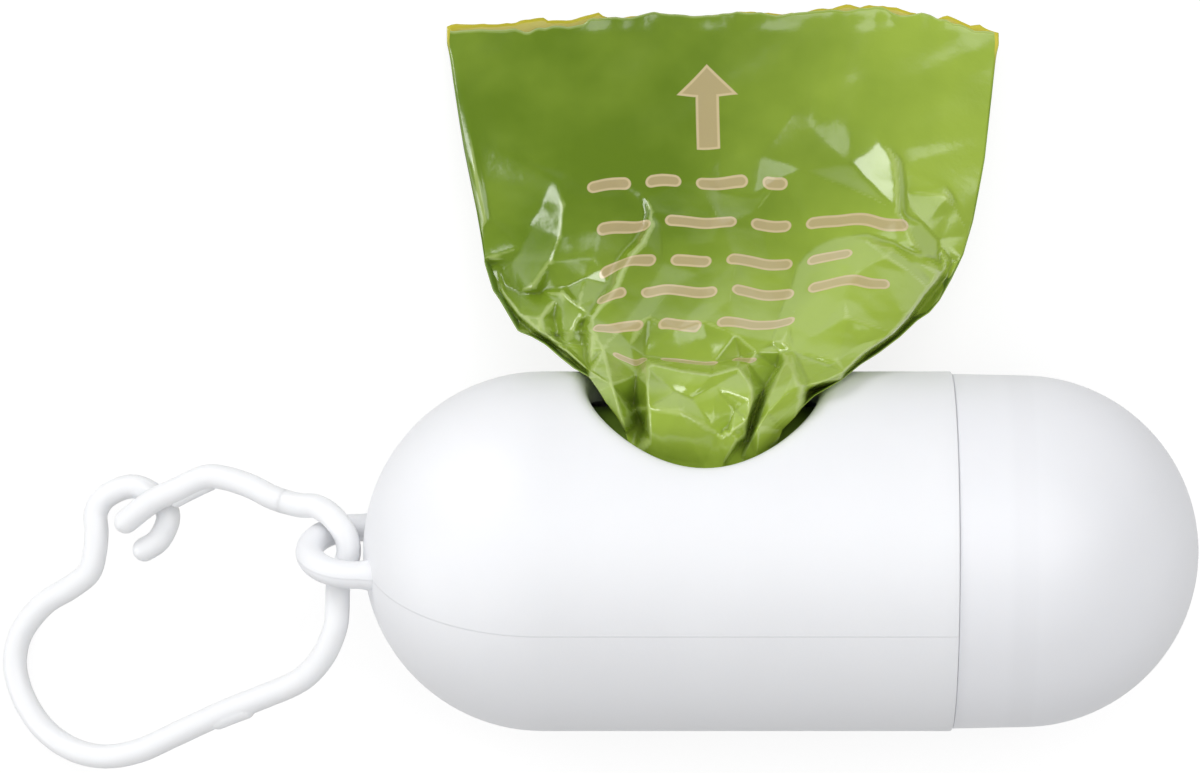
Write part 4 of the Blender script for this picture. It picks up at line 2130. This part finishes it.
    def crumple(self, x: Grid, y: Grid, pitch: float, height: float) -> Grid:
        """Gives small random facets.

        Args:
            x: places across.
            y: places along.
            pitch: distance between their corners.
            height: how far the corners stand out or in.

        Returns:
            The heights on the grid.
        """
        rng = np.random.default_rng(self.seed + round(pitch * 10))
        left, right, near, far = self.facet_field
        points = [
            (
                float(px + rng.uniform(-self.jitter, self.jitter) * pitch),
                float(py + rng.uniform(-self.jitter, self.jitter) * pitch),
                float(rng.uniform(-height, height)),
            )
            for px in np.arange(left, right, pitch)
            for py in np.arange(near, far, pitch)
        ]
        return faceted(points, [], x, y)

    def relief(self, x: Grid, y: Grid) -> Grid:
        """Gives the folds over the front layer's plain form.

        Args:
            x: places across.
            y: places along.

        Returns:
            The heights on the grid.
        """
        points: list[Point] = []
        edges: list[tuple[int, int]] = []
        for fold in CREASES.values():
            first = len(points)
            points.extend(fold)
            edges.extend((first + i, first + i + 1) for i in range(len(fold) - 1))
        for place in np.arange(self.throat - 1.0, self.torn + 4.0, self.border_pitch):
            for side in (self.left, self.right):
                points.append((float(side.at(np.array(place))), float(place), 0.0))
        for place in np.arange(*self.foot_across):
            points.append((float(place), self.foot_along, 0.0))
        folds = faceted(points, edges, x, y) * (1.0 + self.deepening.at(y))
        small = self.crumple(x, y, *self.small_facets) * self.small_in.at(y)
        small = small * (1.0 - self.small_out.at(y))
        fine = self.crumple(x, y, *self.fine_facets) * self.fine_in.at(y)
        a, b = self.drawn_way
        stretched = (a * x + b * y) / self.drawn_stretch
        drawn = self.crumple(stretched, a * y - b * x, *self.drawn_facets) * self.drawn_in.at(y)
        sharp = blurred(folds + small + fine, self.sharp_blur)
        soft = blurred(folds + small + drawn, self.soft_blur)
        share = self.softening.at(y)
        both = sharp * (1 - share) + soft * share
        return both * self.fade.at(y)


# --- Studio ---


@dataclass(frozen=True)
class Softbox:
    """A square soft lamp: its direction from the object, its distance, side and brightness."""

    name: str
    way: Point
    distance: float
    side: float
    brightness: float

    def hang(self) -> None:
        """Hangs the lamp, facing the object."""
        lamp = bpy.data.lights.new(self.name, "AREA")
        lamp.shape, lamp.size = "SQUARE", self.side * MM
        lamp.energy = self.brightness * math.pi * (self.side * MM) ** 2
        hung = bpy.data.objects.new(self.name, lamp)
        way = Vector(self.way).normalized()
        hung.location = way * self.distance * MM
        hung.rotation_mode = "QUATERNION"
        hung.rotation_quaternion = way.to_track_quat("Z", "Y")
        bpy.context.scene.collection.objects.link(hung)


@dataclass
class Studio:
    """The camera over the object, a plain pale floor, three soft lamps and a pale sky."""

    view: Point = (0.71, 0.325, 705.0)
    lens: float = 203.1
    sensor: float = 36.0
    sight: Pair = (10.0, 20000.0)
    floor_size: float = 3000.0
    floor_drop: float = 0.2
    floor_tone: float = 0.3
    floor_seen: float = 0.95
    floor_glow: float = 1.12
    glow_share: float = 0.7
    sky: float = 0.66
    sky_from: float = 0.45
    horizon: float = 0.37
    ceiling: float = 0.1
    ceiling_from: float = 0.32
    skyline: float = 0.85
    lamps: tuple[Softbox, ...] = (
        Softbox("key_softbox", (-0.62, 0.66, 0.42), 900.0, 360.0, 5.8),
        Softbox("left_softbox", (-1.0, -0.25, 0.16), 900.0, 450.0, 3.0),
        Softbox("overhead_softbox", (0.25, 0.2, 1.0), 1000.0, 780.0, 1.9),
    )

    def build(self) -> None:
        """Sets the camera, the world, the lamps and the floor."""
        bpy.context.scene.view_settings.view_transform = "Standard"
        self.place_camera()
        self.light_world()
        for box in self.lamps:
            box.hang()
        self.lay_floor()

    def place_camera(self) -> None:
        """Puts the camera straight above the middle of the view."""
        eye = bpy.data.cameras.new("view")
        eye.lens, eye.sensor_width = self.lens, self.sensor
        eye.clip_start, eye.clip_end = (length * MM for length in self.sight)
        camera = bpy.data.objects.new("view", eye)
        camera.location = Vector(self.view) * MM
        bpy.context.scene.collection.objects.link(camera)
        bpy.context.scene.camera = camera

    @staticmethod
    def seen(tree: Tree) -> Socket:
        """Gives 1 for camera, mirror and see-through rays, and 0 for light.

        Args:
            tree: the node tree.

        Returns:
            The socket.
        """
        ray = add_node(tree, "LightPath")
        looks = add_node(
            tree, "Math", {0: ray["Is Camera Ray"], 1: ray["Is Glossy Ray"]}, operation="MAXIMUM"
        )[0]
        return add_node(tree, "Math", {0: looks, 1: ray["Is Transmission Ray"]}, operation="MAXIMUM")[0]

    def light_world(self) -> None:
        """Makes the surround: white behind the object, a plain sky above, a darker horizon."""
        world = bpy.data.worlds.new("pale_surround")
        bpy.context.scene.world = world
        tree = emptied(world)
        way = add_node(tree, "TexCoord")["Generated"]
        up = add_node(tree, "SeparateXYZ", {0: way})[2]
        lit = add_node(tree, "MapRange", {0: up} | ranged((0.0, self.sky_from, self.horizon, self.sky)))[0]
        shown = add_node(
            tree, "MapRange", {0: up} | ranged((0.0, self.ceiling_from, self.skyline, self.ceiling))
        )[0]
        strength = add_node(tree, "Mix", {0: self.seen(tree), 2: lit, 3: shown}, data_type="FLOAT")[0]
        straight = add_node(tree, "LightPath")["Is Camera Ray"]
        strength = add_node(tree, "Mix", {0: straight, 2: strength, 3: 1.0}, data_type="FLOAT")[0]
        shine = add_node(tree, "Background", {"Color": (1, 1, 1, 1), "Strength": strength})
        add_node(tree, "OutputWorld", {"Surface": shine[0]})

    def lay_floor(self) -> None:
        """Lays the floor just under the object; it keeps part of the object's shadow."""
        plane = bpy.ops.mesh.primitive_plane_add
        place = (0.0, 0.0, -self.floor_drop * MM)
        floor = added("floor", plane, size=self.floor_size * MM, location=place)
        bpy.ops.object.transform_apply(location=True, rotation=False, scale=False)
        made = bpy.data.materials.new("pale_floor")
        tree = emptied(made)
        looks = self.seen(tree)
        tone = add_node(
            tree, "MapRange", {0: looks} | ranged((0.0, 1.0, self.floor_tone, self.floor_seen))
        )[0]
        grey = add_node(tree, "CombineColor", {0: tone, 1: tone, 2: tone})[0]
        matt = add_node(tree, "BsdfDiffuse", {"Color": grey})[0]
        white = add_node(tree, "Emission", {"Color": (1, 1, 1, 1), "Strength": self.floor_glow})[0]
        share = add_node(tree, "Math", {0: looks, 1: self.glow_share}, operation="MULTIPLY")[0]
        both = add_node(tree, "MixShader", {0: share, 1: matt, 2: white})[0]
        add_node(tree, "OutputMaterial", {"Surface": both})
        floor.data.materials.append(made)


def main() -> None:
    """Builds the object piece by piece."""
    logging.basicConfig(level=logging.INFO, format="%(name)s: %(message)s")
    Studio().build()
    BodyShell().build()
    EndCap().build()
    LeashClip().build()
    Roll().build()
    DrawnBag().build()


if __name__ == "__main__":
    main()
